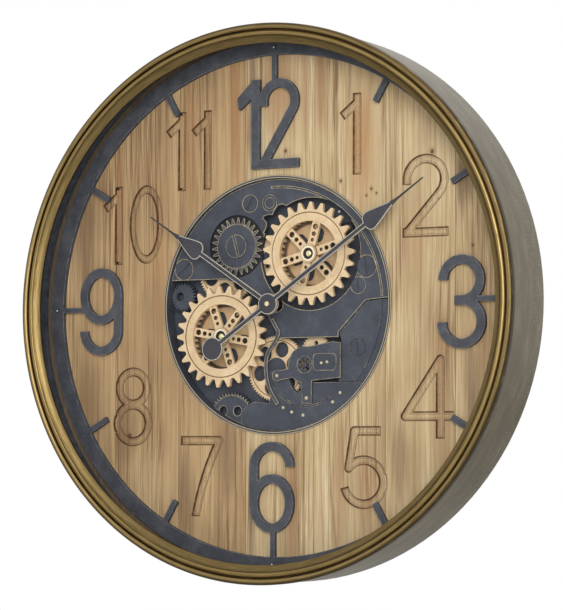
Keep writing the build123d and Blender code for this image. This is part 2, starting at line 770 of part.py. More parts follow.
# Main plate: upper left, top and right of the dish, open around the two big gears
far = 1.1 * dish_outer_radius
main_lower_edge = [
    (far, 6.0),
    (109.0, 2.5),
    (76.0, -31.0),
    (76.0, -36.5),
    (2.6, -36.5),
    (2.6, -31.0),
    (-6.5, -17.5),
    (-11.0, -13.5),
    (-13.0, 0.0),
    (-26.0, 9.0),
    (-64.0, 30.0),
    (-far, 30.0),
]
main_cove = [(-17.5, 95.1), (-16.6, 97.1), (-9.9, 98.7), (-5.6, 98.1), (-4.1, 102.0), (0.6, 108.1), (6.3, 109.5),
             (14.0, 106.0), (3.0, 88.0), (-12.0, 76.0), (-16.5, 79.1), (-13.2, 85.2), (-12.7, 90.2)]
cam_place = (-9.3, 111.5)
cam_radius = 8.4
cam_width = 2.0
with BuildPart() as main_plate:
    with BuildSketch(dial_plane(plate_back)):
        Circle(plate_radius)
        with Locations(upper_place, lower_place):
            Circle(gear_well_radius, mode=Mode.SUBTRACT)
        Circle(bush_thread_radius + 3.0, mode=Mode.SUBTRACT)
        Polygon((-far, -far), *reversed(main_lower_edge), (far, -far), align=None, mode=Mode.SUBTRACT)
        Polygon(*main_cove, align=None, mode=Mode.SUBTRACT)
    extrude(amount=plate_thickness)
    with BuildSketch(dial_plane(plate_front - side_pocket_depth, side_gear_place)):
        Circle(side_pocket_radius)
    extrude(amount=side_pocket_depth, mode=Mode.SUBTRACT)
    with BuildSketch(dial_plane(plate_front - groove_depth)):
        with BuildLine():
            CenterArc((0, 0), plate_radius - field_inset, 3, 90)
        trace(line_width=groove_width)
    extrude(amount=groove_depth, mode=Mode.SUBTRACT)
    with BuildSketch(dial_plane(plate_back, side_gear_place)):
        Circle(plate_screw_radius + press_clearance)
    extrude(amount=plate_thickness, mode=Mode.SUBTRACT)
    with BuildSketch(dial_plane(plate_front)):
        with Locations(cam_place):
            Circle(cam_radius)
            Circle(cam_radius - cam_width, mode=Mode.SUBTRACT)
    extrude(amount=groove_depth)
    add(main_screw_holes, mode=Mode.SUBTRACT)
finish(main_plate, "main_plate")

# Lower right plate: a raised five-sided field on a ledge that follows the dish wall
lower_right_edge = [(far, 5.0), (109.6, 1.4), (77.0, -31.8), (80.0, -40.0), (76.5, -46.0), (76.5, -84.0),
                    (far, -84.0)]
with BuildPart() as lower_right_plate:
    with BuildSketch(dial_plane(plate_back)):
        Circle(plate_radius)
        Polygon(*lower_right_edge, align=None, mode=Mode.INTERSECT)
    extrude(amount=plate_thickness - field_step)
    with BuildSketch(dial_plane(plate_front - field_step)):
        Circle(plate_radius - field_inset)
        Polygon(*lower_right_edge, align=None, mode=Mode.INTERSECT)
    extrude(amount=field_step)
    add(lower_right_screw_holes, mode=Mode.SUBTRACT)
finish(lower_right_plate, "lower_right_plate")

# Lower plate: fills the bottom of the dish, with a window onto the bottom idler
lower_upper_edge = [(-9.0, -107.0), (-7.0, -98.0), (-13.0, -80.0), (-8.0, -73.0), (6.0, -71.0),
                    (18.0, -71.0), (30.0, -78.0), (46.0, -84.6), (far, -84.6)]
lower_lobe = [(-44.0, -122.0), (-38.0, -110.0), (-24.0, -105.0)]
sweep_radius = 45.0
window = [(14.6, -79.5), (19.6, -76.0), (25.6, -81.5), (30.6, -92.5), (26.6, -96.5), (19.6, -90.5)]
with BuildPart() as lower_plate:
    with BuildSketch(dial_plane(plate_back)):
        Circle(plate_radius)
        with BuildLine():
            lobe = ThreePointArc(*lower_lobe)
            Polyline(lobe @ 1, *lower_upper_edge, (far, -far), (lower_lobe[0][0], -far), lobe @ 0)
        make_face(mode=Mode.INTERSECT)
        Polygon(*window, align=None, mode=Mode.SUBTRACT)
    extrude(amount=plate_thickness)
    with BuildSketch(dial_plane(plate_front - groove_depth)):
        with BuildLine():
            CenterArc(rosette_place, sweep_radius, 205, 110)
        trace(line_width=groove_width)
    extrude(amount=groove_depth, mode=Mode.SUBTRACT)
    with BuildSketch(dial_plane(plate_back)):
        with Locations(*bright_pins):
            Circle(pin_radius + press_clearance)
    extrude(amount=plate_thickness, mode=Mode.SUBTRACT)
finish(lower_plate, "lower_plate")

# Bridge over the bottom of the dish, with a round seat for the rosette, a boss and a foot
boss_place = (2.1, -77.0)
foot_place = (38.6, -101.5)
dot_places = [(56.6, -64.0), (63.6, -63.0)]
rosette_radius = 8.8
rosette_petals = 7
seat_radius = 20.0
boss_radius = 6.2
bridge_body = [(26.0, -48.5), (70.0, -41.0), (80.0, -42.5), (80.0, -80.0), (46.0, -83.0), (36.0, -80.0)]
bridge_arm = [(20.0, -69.0), (2.1, -71.5), (3.5, -82.5), (24.0, -79.0)]
bridge_foot = [(32.0, -82.0), (45.0, -82.0), (44.6, -107.5), (32.6, -107.5)]
with BuildPart() as rosette_bridge:
    with BuildSketch(dial_plane(plate_front)):
        with Locations(rosette_place):
            Circle(seat_radius)
        Polygon(*bridge_body, align=None)
        Polygon(*bridge_arm, align=None)
        with Locations(boss_place):
            Circle(boss_radius)
        Polygon(*bridge_foot, align=None)
        with Locations(rosette_place):
            Circle(rosette_radius + press_clearance, mode=Mode.SUBTRACT)
        with Locations(boss_place, foot_place):
            Circle(pin_radius + press_clearance, mode=Mode.SUBTRACT)
    extrude(amount=overlay_thickness)
    with BuildSketch(dial_plane(plate_front + overlay_thickness - groove_depth)):
        with Locations((60.5, -63.0)):
            RectangleRounded(27.0, 17.0, 4.0)
    extrude(amount=groove_depth, mode=Mode.SUBTRACT)
    with BuildSketch(dial_plane(plate_front)):
        with Locations(*dot_places):
            Circle(pin_radius + press_clearance)
    extrude(amount=overlay_thickness, mode=Mode.SUBTRACT)
finish(rosette_bridge, "rosette_bridge")

# Rosette: a thin disc with seven petals cut round a small hub
with BuildPart() as rosette:
    with BuildSketch(dial_plane(plate_front, rosette_place)):
        Circle(rosette_radius)
        with PolarLocations(rosette_radius * 0.56, rosette_petals):
            SlotOverall(rosette_radius * 0.62, 2.6, mode=Mode.SUBTRACT)
    extrude(amount=overlay_thickness - groove_depth)
finish(rosette, "rosette")

# Raised rail that curves from the main plate over the bottom idler to the lower plate
rail_head = (-5.0, -15.5)
rail_bend = (3.6, -29.5)
rail_curve = [rail_bend, (-9.5, -52.0), (-11.4, -76.0), (3.0, -108.0)]
with BuildPart() as curved_rail:
    with BuildSketch(dial_plane(plate_front)):
        with BuildLine():
            Line(rail_head, rail_bend)
            Spline(*rail_curve, tangents=((-0.2, -1), (0.75, -1)))
        trace(line_width=rail_width)
        with Locations(boss_place):
            Circle(boss_radius + press_clearance, mode=Mode.SUBTRACT)
    extrude(amount=overlay_thickness)
finish(curved_rail, "curved_rail")

# Slotted screws that hold the plates on the posts of the dish, and the side gear in its pocket
with BuildPart() as plate_screws:
    for place, head in screw_places:
        with BuildSketch(dial_plane(plate_back - plate_rise / 2, place)):
            Circle(plate_screw_radius)
        extrude(amount=plate_rise / 2 + plate_thickness - screw_head_thickness)
        with BuildSketch(dial_plane(plate_front - screw_head_thickness, place)):
            Circle(head)
        extrude(amount=screw_head_thickness)
        slot_turn = 70 + place[0] / 4
        with BuildSketch(dial_plane(plate_front - screw_slot_depth, place)):
            Rectangle(2 * head + 2, screw_slot_width, rotation=slot_turn)
        extrude(amount=screw_slot_depth + 1, mode=Mode.SUBTRACT)
    with BuildSketch(dial_plane(plate_back, side_gear_place)):
        Circle(plate_screw_radius)
    extrude(amount=side_cap_front - plate_back)
    with BuildSketch(dial_plane(side_cap_front, side_gear_place)):
        Circle(side_screw_radius)
    extrude(amount=side_screw_rise)
    with BuildSketch(dial_plane(side_cap_front + side_screw_rise - screw_slot_depth, side_gear_place)):
        Rectangle(2 * side_screw_radius + 2, screw_slot_width, rotation=-75)
    extrude(amount=screw_slot_depth + 1, mode=Mode.SUBTRACT)
finish(plate_screws, "plate_screws")

# Bright pins driven into the lower plate and the bridge
with BuildPart() as plate_pins:
    for place in bright_pins:
        with BuildSketch(dial_plane(plate_back, place)):
            Circle(pin_radius)
        extrude(amount=plate_thickness + pin_rise)
    for place in [boss_place, foot_place] + dot_places:
        with BuildSketch(dial_plane(plate_front, place)):
            Circle(pin_radius)
        extrude(amount=overlay_thickness + pin_rise / 2)
finish(plate_pins, "plate_pins")

# Side gear in its pocket
with BuildPart() as side_gear:
    side_outline = bold_tooth_points(side_gear_teeth, side_gear_root_radius, side_gear_tip_radius, 4)
    with BuildSketch(dial_plane(side_pocket_floor, side_gear_place)):
        Polygon(*side_outline, align=None)
        Circle(plate_screw_radius + press_clearance, mode=Mode.SUBTRACT)
    extrude(amount=side_gear_thickness)
    with BuildSketch(dial_plane(side_pocket_floor + side_gear_thickness, side_gear_place)):
        Circle(side_gear_cap_radius)
        Circle(plate_screw_radius + press_clearance, mode=Mode.SUBTRACT)
    extrude(amount=side_gear_cap_rise)
finish(side_gear, "side_gear")

# Two fixed gears in relief on the floor of the dish, cut off by its wall
relief_gear_places = [((-122.0, 11.8), 26, 16.5, 13.2), ((-59.0, -123.0), 44, 28.5, 25.6)]
relief_holes = [(-125.8, 12.5), (-69.8, -114.2), (-51.6, -114.8)]
relief_hole_radius = 5.0
with BuildPart() as relief_gears:
    for place, teeth, tip, root in relief_gear_places:
        with BuildSketch(dial_plane(floor_front)):
            outline = bold_tooth_points(teeth, root, tip, 0)
            Polygon(*[(place[0] + x, place[1] + z) for x, z in outline], align=None)
            Circle(plate_radius, mode=Mode.INTERSECT)
            with Locations(*relief_holes):
                Circle(relief_hole_radius, mode=Mode.SUBTRACT)
        extrude(amount=plate_rise - relief_gap)
finish(relief_gears, "relief_gears")

# Bushes in the floor for the two turning arbors
with BuildPart() as arbor_bushes:
    with BuildSketch(dial_plane(floor_back)):
        with Locations(*arbor_places):
            Circle(bush_radius)
    extrude(amount=dish_floor)
    with BuildSketch(dial_plane(floor_front)):
        with Locations(*arbor_places):
            Circle(bush_flange_radius)
    extrude(amount=bush_flange_thickness)
    with BuildSketch(dial_plane(floor_back)):
        with Locations(*arbor_places):
            Circle(arbor_radius + running_clearance)
    extrude(amount=dish_floor + bush_flange_thickness, mode=Mode.SUBTRACT)
finish(arbor_bushes, "arbor_bushes")


def make_big_gear(name, place, spoke_angle):
    """Show gear: toothed rim with a turned line, six drilled spokes set back behind it, and a hub."""
    outline = bold_tooth_points(big_gear_teeth, big_gear_root_radius, big_gear_tip_radius, spoke_angle)
    with BuildPart() as gear:
        with BuildSketch(dial_plane(big_gear_back, place)):
            Polygon(*outline, align=None)
            Circle(big_gear_bore_radius, mode=Mode.SUBTRACT)
        extrude(amount=big_gear_thickness)
        with BuildSketch(dial_plane(big_gear_front - groove_depth, place)):
            Circle(big_gear_line_radius + groove_width / 2)
            Circle(big_gear_line_radius - groove_width / 2, mode=Mode.SUBTRACT)
        extrude(amount=groove_depth, mode=Mode.SUBTRACT)
        with BuildSketch(dial_plane(spider_back, place)):
            reach = big_gear_bore_radius + 2.0
            with PolarLocations(reach / 2, spoke_count, spoke_angle):
                Rectangle(reach, spoke_width)
            for distance, radius in spoke_holes:
                with PolarLocations(distance, spoke_count, spoke_angle):
                    Circle(radius, mode=Mode.SUBTRACT)
        extrude(amount=spider_thickness)
        with BuildSketch(dial_plane(spider_back, place)):
            Circle(hub_radius)
        extrude(amount=hub_front - spider_back)
        with BuildSketch(dial_plane(hub_front - hub_recess_depth, place)):
            Circle(hub_recess_radius)
        extrude(amount=hub_recess_depth, mode=Mode.SUBTRACT)
        with BuildSketch(dial_plane(spider_back, place)):
            Circle(arbor_radius + press_clearance)
        extrude(amount=hub_front - spider_back, mode=Mode.SUBTRACT)
    finish(gear, name)


def make_wheel(name, place, phase, spoke_angle):
    """Fine-toothed wheel behind a show gear, with a thin web opened behind each spoke, a slotted drum and a hub."""
    with BuildPart() as wheel:
        with BuildSketch(dial_plane(wheel_back, place)):
            Polygon(*involute_points(wheel_teeth, fine_module, fine_play, phase), align=None)
        extrude(amount=wheel_thickness)
        with BuildSketch(dial_plane(wheel_front - web_recess, place)):
            Circle(web_radius)
            Circle(wheel_hub_radius, mode=Mode.SUBTRACT)
        extrude(amount=web_recess, mode=Mode.SUBTRACT)
        with BuildSketch(dial_plane(wheel_back, place)):
            with PolarLocations(opening_radius, spoke_count, spoke_angle):
                SlotOverall(opening_length, opening_width)
        extrude(amount=wheel_thickness, mode=Mode.SUBTRACT)
        with BuildSketch(dial_plane(wheel_front, place)):
            Circle(wheel_drum_radius)
            Circle(wheel_drum_radius - wheel_drum_wall, mode=Mode.SUBTRACT)
            slot_width = pi * wheel_drum_radius / wheel_drum_slots
            with PolarLocations(wheel_drum_radius, wheel_drum_slots):
                Rectangle(4 * wheel_drum_wall, slot_width, mode=Mode.SUBTRACT)
            Circle(wheel_hub_radius)
        extrude(amount=spider_back - wheel_front)
        with BuildSketch(dial_plane(wheel_back, place)):
            Circle(arbor_radius + press_clearance)
        extrude(amount=spider_back - wheel_back, mode=Mode.SUBTRACT)
    finish(wheel, name)


def make_arbor(name, place):
    """Turning arbor: shaft in its bush, a collar under the wheel and a thin tip in the hub recess."""
    with BuildPart() as arbor:
        with BuildSketch(dial_plane(floor_back - arbor_tail, place)):
            Circle(arbor_radius)
        extrude(amount=hub_front - hub_recess_depth - floor_back + arbor_tail)
        with BuildSketch(dial_plane(floor_front + bush_flange_thickness + stud_end_play, place)):
            Circle(arbor_collar_radius)
        extrude(amount=wheel_rise - bush_flange_thickness - stud_end_play)
        with BuildSketch(dial_plane(hub_front - hub_recess_depth, place)):
            Circle(arbor_tip_radius)
        extrude(amount=hub_recess_depth)
    finish(arbor, name)


make_big_gear("upper_gear", upper_place, upper_spoke_angle)
make_wheel("upper_wheel", upper_place, upper_phase, upper_spoke_angle)
make_arbor("upper_arbor", upper_place)
make_big_gear("lower_gear", lower_place, lower_spoke_angle)
make_wheel("lower_wheel", lower_place, lower_phase, lower_spoke_angle)
make_arbor("lower_arbor", lower_place)


def make_idler(name, place, teeth, phase, holes, hole_radius, hole_circle, line_radius):
    """Flat fine-toothed gear that runs on a fixed stud, with round openings and a turned line."""
    with BuildPart() as idler:
        with BuildSketch(dial_plane(idler_back, place)):
            Polygon(*involute_points(teeth, fine_module, fine_play, phase), align=None)
            Circle(arbor_radius + running_clearance, mode=Mode.SUBTRACT)
            with PolarLocations(hole_circle, holes, phase + hole_offset):
                Circle(hole_radius, mode=Mode.SUBTRACT)
        extrude(amount=idler_thickness)
        with BuildSketch(dial_plane(idler_front - groove_depth / 2, place)):
            Circle(line_radius + groove_width / 2)
            Circle(line_radius - groove_width / 2, mode=Mode.SUBTRACT)
        extrude(amount=groove_depth / 2, mode=Mode.SUBTRACT)
    finish(idler, name)


make_idler("left_idler", left_idler_place, idler_teeth, left_idler_phase,
           idler_hole_count, idler_hole_radius, idler_hole_circle, idler_line_radius)
make_idler("bottom_idler", bottom_idler_place, idler_teeth, bottom_idler_phase,
           idler_hole_count, idler_hole_radius, idler_hole_circle, idler_line_radius)
small_root = pitch_radius(small_teeth) - dedendum * fine_module
make_idler("small_gear", small_gear_place, small_teeth, small_phase,
           small_hole_count, small_root * 0.16, small_root * 0.55, small_root - line_inset)
transfer_root = pitch_radius(transfer_teeth) - dedendum * fine_module
make_idler("transfer_gear", transfer_place, transfer_teeth, transfer_phase,
           small_hole_count, transfer_root * 0.17, transfer_root * 0.58, transfer_root - line_inset)

# Fixed studs for the idlers: a foot in the floor, a shoulder, the bearing and a head
with BuildPart() as idler_studs:
    for place in stud_places:
        head = stud_cap_radius if place == bottom_idler_place else stud_head_radius
        with BuildSketch(dial_plane(floor_back, place)):
            Circle(arbor_radius)
        extrude(amount=idler_front + stud_end_play + stud_head_thickness - floor_back)
        with BuildSketch(dial_plane(floor_front, place)):
            Circle(arbor_collar_radius)
        extrude(amount=idler_back - stud_end_play - floor_front)
        with BuildSketch(dial_plane(idler_front + stud_end_play, place)):
            Circle(head)
        extrude(amount=stud_head_thickness)
finish(idler_studs, "idler_studs")

# Flat gear motor behind the floor, with two lugs, and its shaft and pinion in front of it
motor_back = floor_back - motor_thickness
with BuildPart() as gear_motor:
    with BuildSketch(dial_plane(motor_back, pinion_place)):
        Circle(motor_radius)
    extrude(amount=motor_thickness)
    with BuildSketch(dial_plane(floor_back - motor_lug_thickness)):
        for lug in motor_lugs:
            with Locations(lug):
                Circle(motor_lug_width / 2)
        with Locations(pinion_place):
            Rectangle(2 * (motor_lug_reach - motor_lug_width / 2), motor_lug_width, rotation=120)
        with Locations(*motor_lugs):
            Circle(motor_screw_radius + press_clearance, mode=Mode.SUBTRACT)
    extrude(amount=motor_lug_thickness)
    with BuildSketch(dial_plane(floor_back - motor_thickness / 2, pinion_place)):
        Circle(motor_shaft_radius + running_clearance)
    extrude(amount=motor_thickness / 2, mode=Mode.SUBTRACT)
finish(gear_motor, "gear_motor")

with BuildPart() as motor_screws:
    for lug in motor_lugs:
        with BuildSketch(dial_plane(floor_back - motor_lug_thickness, lug)):
            Circle(motor_screw_radius)
        extrude(amount=motor_lug_thickness + dish_floor)
        with BuildSketch(dial_plane(floor_back - motor_lug_thickness, lug)):
            Circle(motor_screw_head_radius)
        extrude(amount=-motor_screw_head_thickness)
finish(motor_screws, "motor_screws")

with BuildPart() as motor_pinion:
    with BuildSketch(dial_plane(floor_back - motor_thickness / 2 + stud_end_play, pinion_place)):
        Circle(motor_shaft_radius)
    extrude(amount=wheel_front + 1.0 - floor_back + motor_thickness / 2 - stud_end_play)
    with BuildSketch(dial_plane(wheel_back, pinion_place)):
        Polygon(*involute_points(pinion_teeth, fine_module, fine_play, pinion_phase), align=None)
    extrude(amount=wheel_thickness)
finish(motor_pinion, "motor_pinion")

# Holder for two cells behind the floor, open to the back, with a slide switch at its end
holder_back = floor_back - holder_front_wall - 2 * cell_radius
switch_place = (holder_place[0] + holder_length / 2 + switch_width / 2 + 1.5, holder_place[1])
switch_box = (switch_width + 3.0, 2 * switch_travel + switch_knob + 6.0)
switch_back = floor_back - switch_depth
cell_rows = (holder_place[1] - holder_pitch / 2, holder_place[1] + holder_pitch / 2)
with BuildPart() as battery_holder:
    with BuildSketch(dial_plane(holder_back + cell_radius, holder_place)):
        Rectangle(holder_length, holder_height)
    extrude(amount=floor_back - holder_back - cell_radius)
    with BuildSketch(dial_plane(holder_back + cell_radius, holder_place)):
        Rectangle(holder_length - 2 * holder_wall, holder_height - 2 * holder_wall)
    extrude(amount=cell_radius, mode=Mode.SUBTRACT)
    with BuildSketch(dial_plane(switch_back, switch_place)):
        Rectangle(*switch_box)
    extrude(amount=switch_depth)
    with BuildSketch(dial_plane(switch_back, switch_place)):
        Rectangle(switch_width - 1.0, switch_travel + switch_knob + 1.0)
    extrude(amount=switch_recess, mode=Mode.SUBTRACT)
finish(battery_holder, "battery_holder")

with BuildPart() as holder_cells:
    for row, turn in zip(cell_rows, (1, -1)):
        cell_end = holder_place[0] - turn * (cell_length + cell_nub_length) / 2
        axis_point = (cell_end, -(holder_back + cell_radius), row)
        with BuildSketch(Plane(origin=axis_point, x_dir=(0, 1, 0), z_dir=(turn, 0, 0))):
            Circle(cell_radius)
        extrude(amount=cell_length)
        tip_point = (axis_point[0] + turn * cell_length, axis_point[1], row)
        with BuildSketch(Plane(origin=tip_point, x_dir=(0, 1, 0), z_dir=(turn, 0, 0))):
            Circle(cell_nub_radius)
        extrude(amount=cell_nub_length)
finish(holder_cells, "holder_cells")

with BuildPart() as switch_slider:
    slider_place = (switch_place[0], switch_place[1] - switch_travel / 2)
    with BuildSketch(dial_plane(switch_back - switch_knob_rise, slider_place)):
        Rectangle(switch_width - 2.0, switch_knob)
    extrude(amount=switch_knob_rise + switch_recess)
finish(switch_slider, "switch_slider")

# Twin lead from the switch to the motor, held against the back of the floor
lead_height = floor_back - lead_radius - lead_gap
lead_start = (switch_place[0] + switch_box[0] / 2 + lead_gap, switch_place[1])
lead_end = polar(pinion_place, motor_radius + lead_gap, -75)
lead_points = [
    lead_start,
    (lead_start[0] + 24.0, lead_start[1]),
    (lead_start[0] + 42.0, lead_start[1] + 26.0),
    (lead_end[0] + 8.0, lead_end[1] - 74.0),
    (lead_end[0] + 5.0, lead_end[1] - 32.0),
    lead_end,
]
lead_radii = []
for before, at, after in zip(lead_points, lead_points[1:], lead_points[2:]):
    turn = abs(bearing_to(before, at) - bearing_to(at, after))
    run = min(hypot(at[0] - before[0], at[1] - before[1]), hypot(after[0] - at[0], after[1] - at[1]))
    lead_radii.append(0.45 * run / tan(radians(turn / 2)))
with BuildPart() as motor_leads:
    with BuildLine(dial_plane(lead_height)) as lead_path:
        FilletPolyline(*lead_points, radius=lead_radii)
    with BuildSketch(Plane(origin=lead_path.line @ 0, z_dir=lead_path.line % 0)):
        Circle(lead_radius)
    sweep(path=lead_path.line)
finish(motor_leads, "motor_leads")

# Quartz movement behind the floor: case, cover, threaded bush, nut and washer
movement_back = floor_back - movement_thickness
half = movement_size / 2
works_floor = floor_back - movement_front_wall
bay_middle = -half + movement_wall + movement_bay_height / 2
works_low = bay_middle + movement_bay_height / 2 + movement_wall
works_middle = (works_low + half - movement_wall) / 2
works_height = half - movement_wall - works_low
motion_reach = pitch_radius(motion_pinion_teeth + motion_wheel_teeth, motion_module)
motion_place = (motion_reach, 0.0)
with BuildPart() as movement_case:
    with BuildSketch(dial_plane(movement_back)):
        RectangleRounded(movement_size, movement_size, 3.0)
    extrude(amount=movement_thickness)
    with BuildSketch(dial_plane(movement_back)):
        with Locations((0, works_middle)):
            Rectangle(movement_size - 2 * movement_wall, works_height)
    extrude(amount=works_floor - movement_back, mode=Mode.SUBTRACT)
    with BuildSketch(dial_plane(movement_back)):
        with Locations((0, bay_middle)):
            Rectangle(movement_size - 2 * movement_wall, movement_bay_height)
    extrude(amount=movement_thickness - bay_front_wall, mode=Mode.SUBTRACT)
    with BuildSketch(dial_plane(works_floor)):
        Circle(bush_thread_radius + press_clearance)
    extrude(amount=movement_front_wall, mode=Mode.SUBTRACT)
    with BuildSketch(dial_plane(works_floor, motion_place)):
        Circle(motion_arbor_radius + running_clearance)
    extrude(amount=1.2, mode=Mode.SUBTRACT)
finish(movement_case, "movement_case")

with BuildPart() as movement_cover:
    with BuildSketch(dial_plane(movement_back - movement_cover_thickness)):
        with Locations((0, works_middle)):
            Rectangle(movement_size, works_height + 2 * movement_wall - 0.4)
        with Locations(motion_place):
            Circle(motion_arbor_radius + running_clearance, mode=Mode.SUBTRACT)
        Circle(minute_shaft_radius + running_clearance, mode=Mode.SUBTRACT)
    extrude(amount=movement_cover_thickness)
finish(movement_cover, "movement_cover")

with BuildPart() as threaded_bush:
    with BuildSketch(dial_plane(works_floor)):
        Circle(bush_thread_radius)
        Circle(hour_pipe_radius + running_clearance, mode=Mode.SUBTRACT)
    extrude(amount=bush_thread_length)
finish(threaded_bush, "threaded_bush")

with BuildPart() as fixing_washer:
    with BuildSketch(dial_plane(floor_front)):
        Circle(washer_radius)
        Circle(bush_thread_radius + running_clearance, mode=Mode.SUBTRACT)
    extrude(amount=washer_thickness)
finish(fixing_washer, "fixing_washer")

with BuildPart() as fixing_nut:
    with BuildSketch(dial_plane(floor_front + washer_thickness)):
        RegularPolygon(nut_width / 2, 6, major_radius=False)
        Circle(bush_thread_radius + running_clearance, mode=Mode.SUBTRACT)
    extrude(amount=nut_thickness)
finish(fixing_nut, "fixing_nut")

# Motion work: minute shaft and pinion, motion wheel with the setting knob, hour wheel on its pipe
hour_wheel_front = works_floor - motion_gap
hour_wheel_back = hour_wheel_front - motion_thickness
motion_wheel_front = hour_wheel_back - motion_gap
motion_wheel_back = motion_wheel_front - motion_thickness
cover_back = movement_back - movement_cover_thickness
hour_pipe_top = hour_hand_height + hand_thickness
minute_shaft_top = minute_hand_height + hand_thickness + hand_cap_rise
motion_bearing = bearing_to((0, 0), motion_place)
minute_pinion_phase = 0.0
motion_phase = meshed_phase(motion_pinion_teeth, minute_pinion_phase, motion_bearing, motion_wheel_teeth)
motion_pinion_phase = 0.0
back_bearing = motion_bearing + 180
hour_wheel_phase = meshed_phase(motion_pinion_teeth, motion_pinion_phase, back_bearing, hour_wheel_teeth)

with BuildPart() as hour_pipe:
    with BuildSketch(dial_plane(hour_wheel_back)):
        Polygon(*involute_points(hour_wheel_teeth, hour_module, motion_play, hour_wheel_phase), align=None)
        Circle(minute_shaft_radius + running_clearance, mode=Mode.SUBTRACT)
    extrude(amount=motion_thickness)
    with BuildSketch(dial_plane(hour_wheel_front)):
        Circle(hour_pipe_radius)
        Circle(minute_shaft_radius + running_clearance, mode=Mode.SUBTRACT)
    extrude(amount=hour_pipe_top - hour_wheel_front)
finish(hour_pipe, "hour_pipe")

with BuildPart() as minute_shaft:
    with BuildSketch(dial_plane(cover_back)):
        Circle(minute_shaft_radius)
    extrude(amount=minute_shaft_top - cover_back)
    with BuildSketch(dial_plane(motion_wheel_back - 0.2)):
        outline = involute_points(motion_pinion_teeth, motion_module, motion_play, minute_pinion_phase)
        Polygon(*outline, align=None)
    extrude(amount=motion_thickness + 0.4)
finish(minute_shaft, "minute_shaft")

with BuildPart() as motion_wheel:
    with BuildSketch(dial_plane(motion_wheel_back, motion_place)):
        Polygon(*involute_points(motion_wheel_teeth, motion_module, motion_play, motion_phase), align=None)
    extrude(amount=motion_thickness)
    with BuildSketch(dial_plane(motion_wheel_front, motion_place)):
        outline = involute_points(motion_pinion_teeth, hour_module, motion_play, motion_pinion_phase)
        Polygon(*outline, align=None)
    extrude(amount=hour_wheel_front - motion_wheel_front + 0.3)
    with BuildSketch(dial_plane(cover_back - stud_end_play, motion_place)):
        Circle(motion_arbor_radius)
    extrude(amount=works_floor + 1.0 - cover_back + stud_end_play)
finish(motion_wheel, "motion_wheel")

with BuildPart() as setting_knob:
    with BuildSketch(dial_plane(cover_back - stud_end_play - knob_thickness, motion_place)):
        Polygon(*bold_tooth_points(knob_grips, knob_radius - 0.5, knob_radius, 0), align=None)
    extrude(amount=knob_thickness)
finish(setting_knob, "setting_knob")

movement_cell_middle = floor_back - bay_front_wall - movement_cell_radius
with BuildPart() as movement_cell:
    with BuildSketch(Plane(origin=(-movement_cell_length / 2, -movement_cell_middle, bay_middle),
                           x_dir=(0, 1, 0), z_dir=(1, 0, 0))):
        Circle(movement_cell_radius)
    extrude(amount=movement_cell_length)
    with BuildSketch(Plane(origin=(movement_cell_length / 2, -movement_cell_middle, bay_middle),
                           x_dir=(0, 1, 0), z_dir=(1, 0, 0))):
        Circle(cell_nub_radius * 1.4)
    extrude(amount=cell_nub_length)
finish(movement_cell, "movement_cell")

# Contact strips at the two ends of the movement's cell
contact_gap = half - movement_wall
with BuildPart() as cell_contacts:
    near_end = movement_cell_length / 2
    far_end = near_end + cell_nub_length
    for start, end in ((far_end, contact_gap), (-contact_gap, -near_end)):
        with Locations(((start + end) / 2, -movement_cell_middle, bay_middle)):
            Box(end - start, 9.0, 9.0)
finish(cell_contacts, "cell_contacts")


# Hands: flat blades with a hub, a bar, a leaf and, on the minute hand, a paddle tail
def make_hand(name, length, shoulder, height, clock_angle, bore, tail):
    """Flat hand turned to its place, in degrees clockwise from twelve: hub, bar, round shoulder and taper."""
    turn = radians(90 - clock_angle)
    along = Plane(origin=(0, -height, 0), x_dir=(cos(turn), 0, sin(turn)), z_dir=(0, -1, 0))
    half_bar = hand_bar_width / 2
    widest = shoulder + leaf_half_width * 0.75
    taper = (length - widest) * leaf_share
    with BuildPart() as hand:
        with BuildSketch(along):
            for side in (-1, 1):
                foot = (shoulder, side * half_bar)
                swell = (shoulder + leaf_half_width * 0.16, side * leaf_half_width * 0.70)
                crest = (widest, side * leaf_half_width)
                hold = (widest + taper * 0.30, side * leaf_half_width * 0.84)
                neck = (widest + taper * 0.62, side * leaf_half_width * 0.16)
                waist = (widest + taper, side * needle_half_width)
                tip = (length, side * hand_tip_half_width)
                with BuildLine():
                    ThreePointArc(foot, swell, crest)
                    Bezier(crest, hold, neck, waist)
                    Polyline(waist, tip, (length, 0), (0, 0), (0, side * half_bar), foot)
                make_face()
            Circle(hand_hub_radius)
            if tail:
                with Locations((-tail / 2, 0)):
                    Rectangle(tail, hand_bar_width)
                with Locations((-tail, 0)):
                    Circle(tail_paddle_radius)
            Circle(bore + press_clearance, mode=Mode.SUBTRACT)
        extrude(amount=hand_thickness)
    finish(hand, name)


make_hand("hour_hand", hour_hand_length, hour_shoulder, hour_hand_height, hour_hand_angle,
          hour_pipe_radius, 0.0)
make_hand("minute_hand", minute_hand_length, minute_shoulder, minute_hand_height, minute_hand_angle,
          minute_shaft_radius, minute_tail)

with BuildPart() as hand_cap:
    with BuildSketch(dial_plane(minute_hand_height + hand_thickness)):
        Circle(hand_cap_radius)
    extrude(amount=hand_cap_rise + hand_cap_crown, taper=15)
    with BuildSketch(dial_plane(minute_hand_height + hand_thickness)):
        Circle(minute_shaft_radius + press_clearance)
    extrude(amount=hand_cap_rise + press_clearance, mode=Mode.SUBTRACT)
finish(hand_cap, "hand_cap")
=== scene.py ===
import math

import bpy
import numpy as np
from mathutils import Matrix, Vector


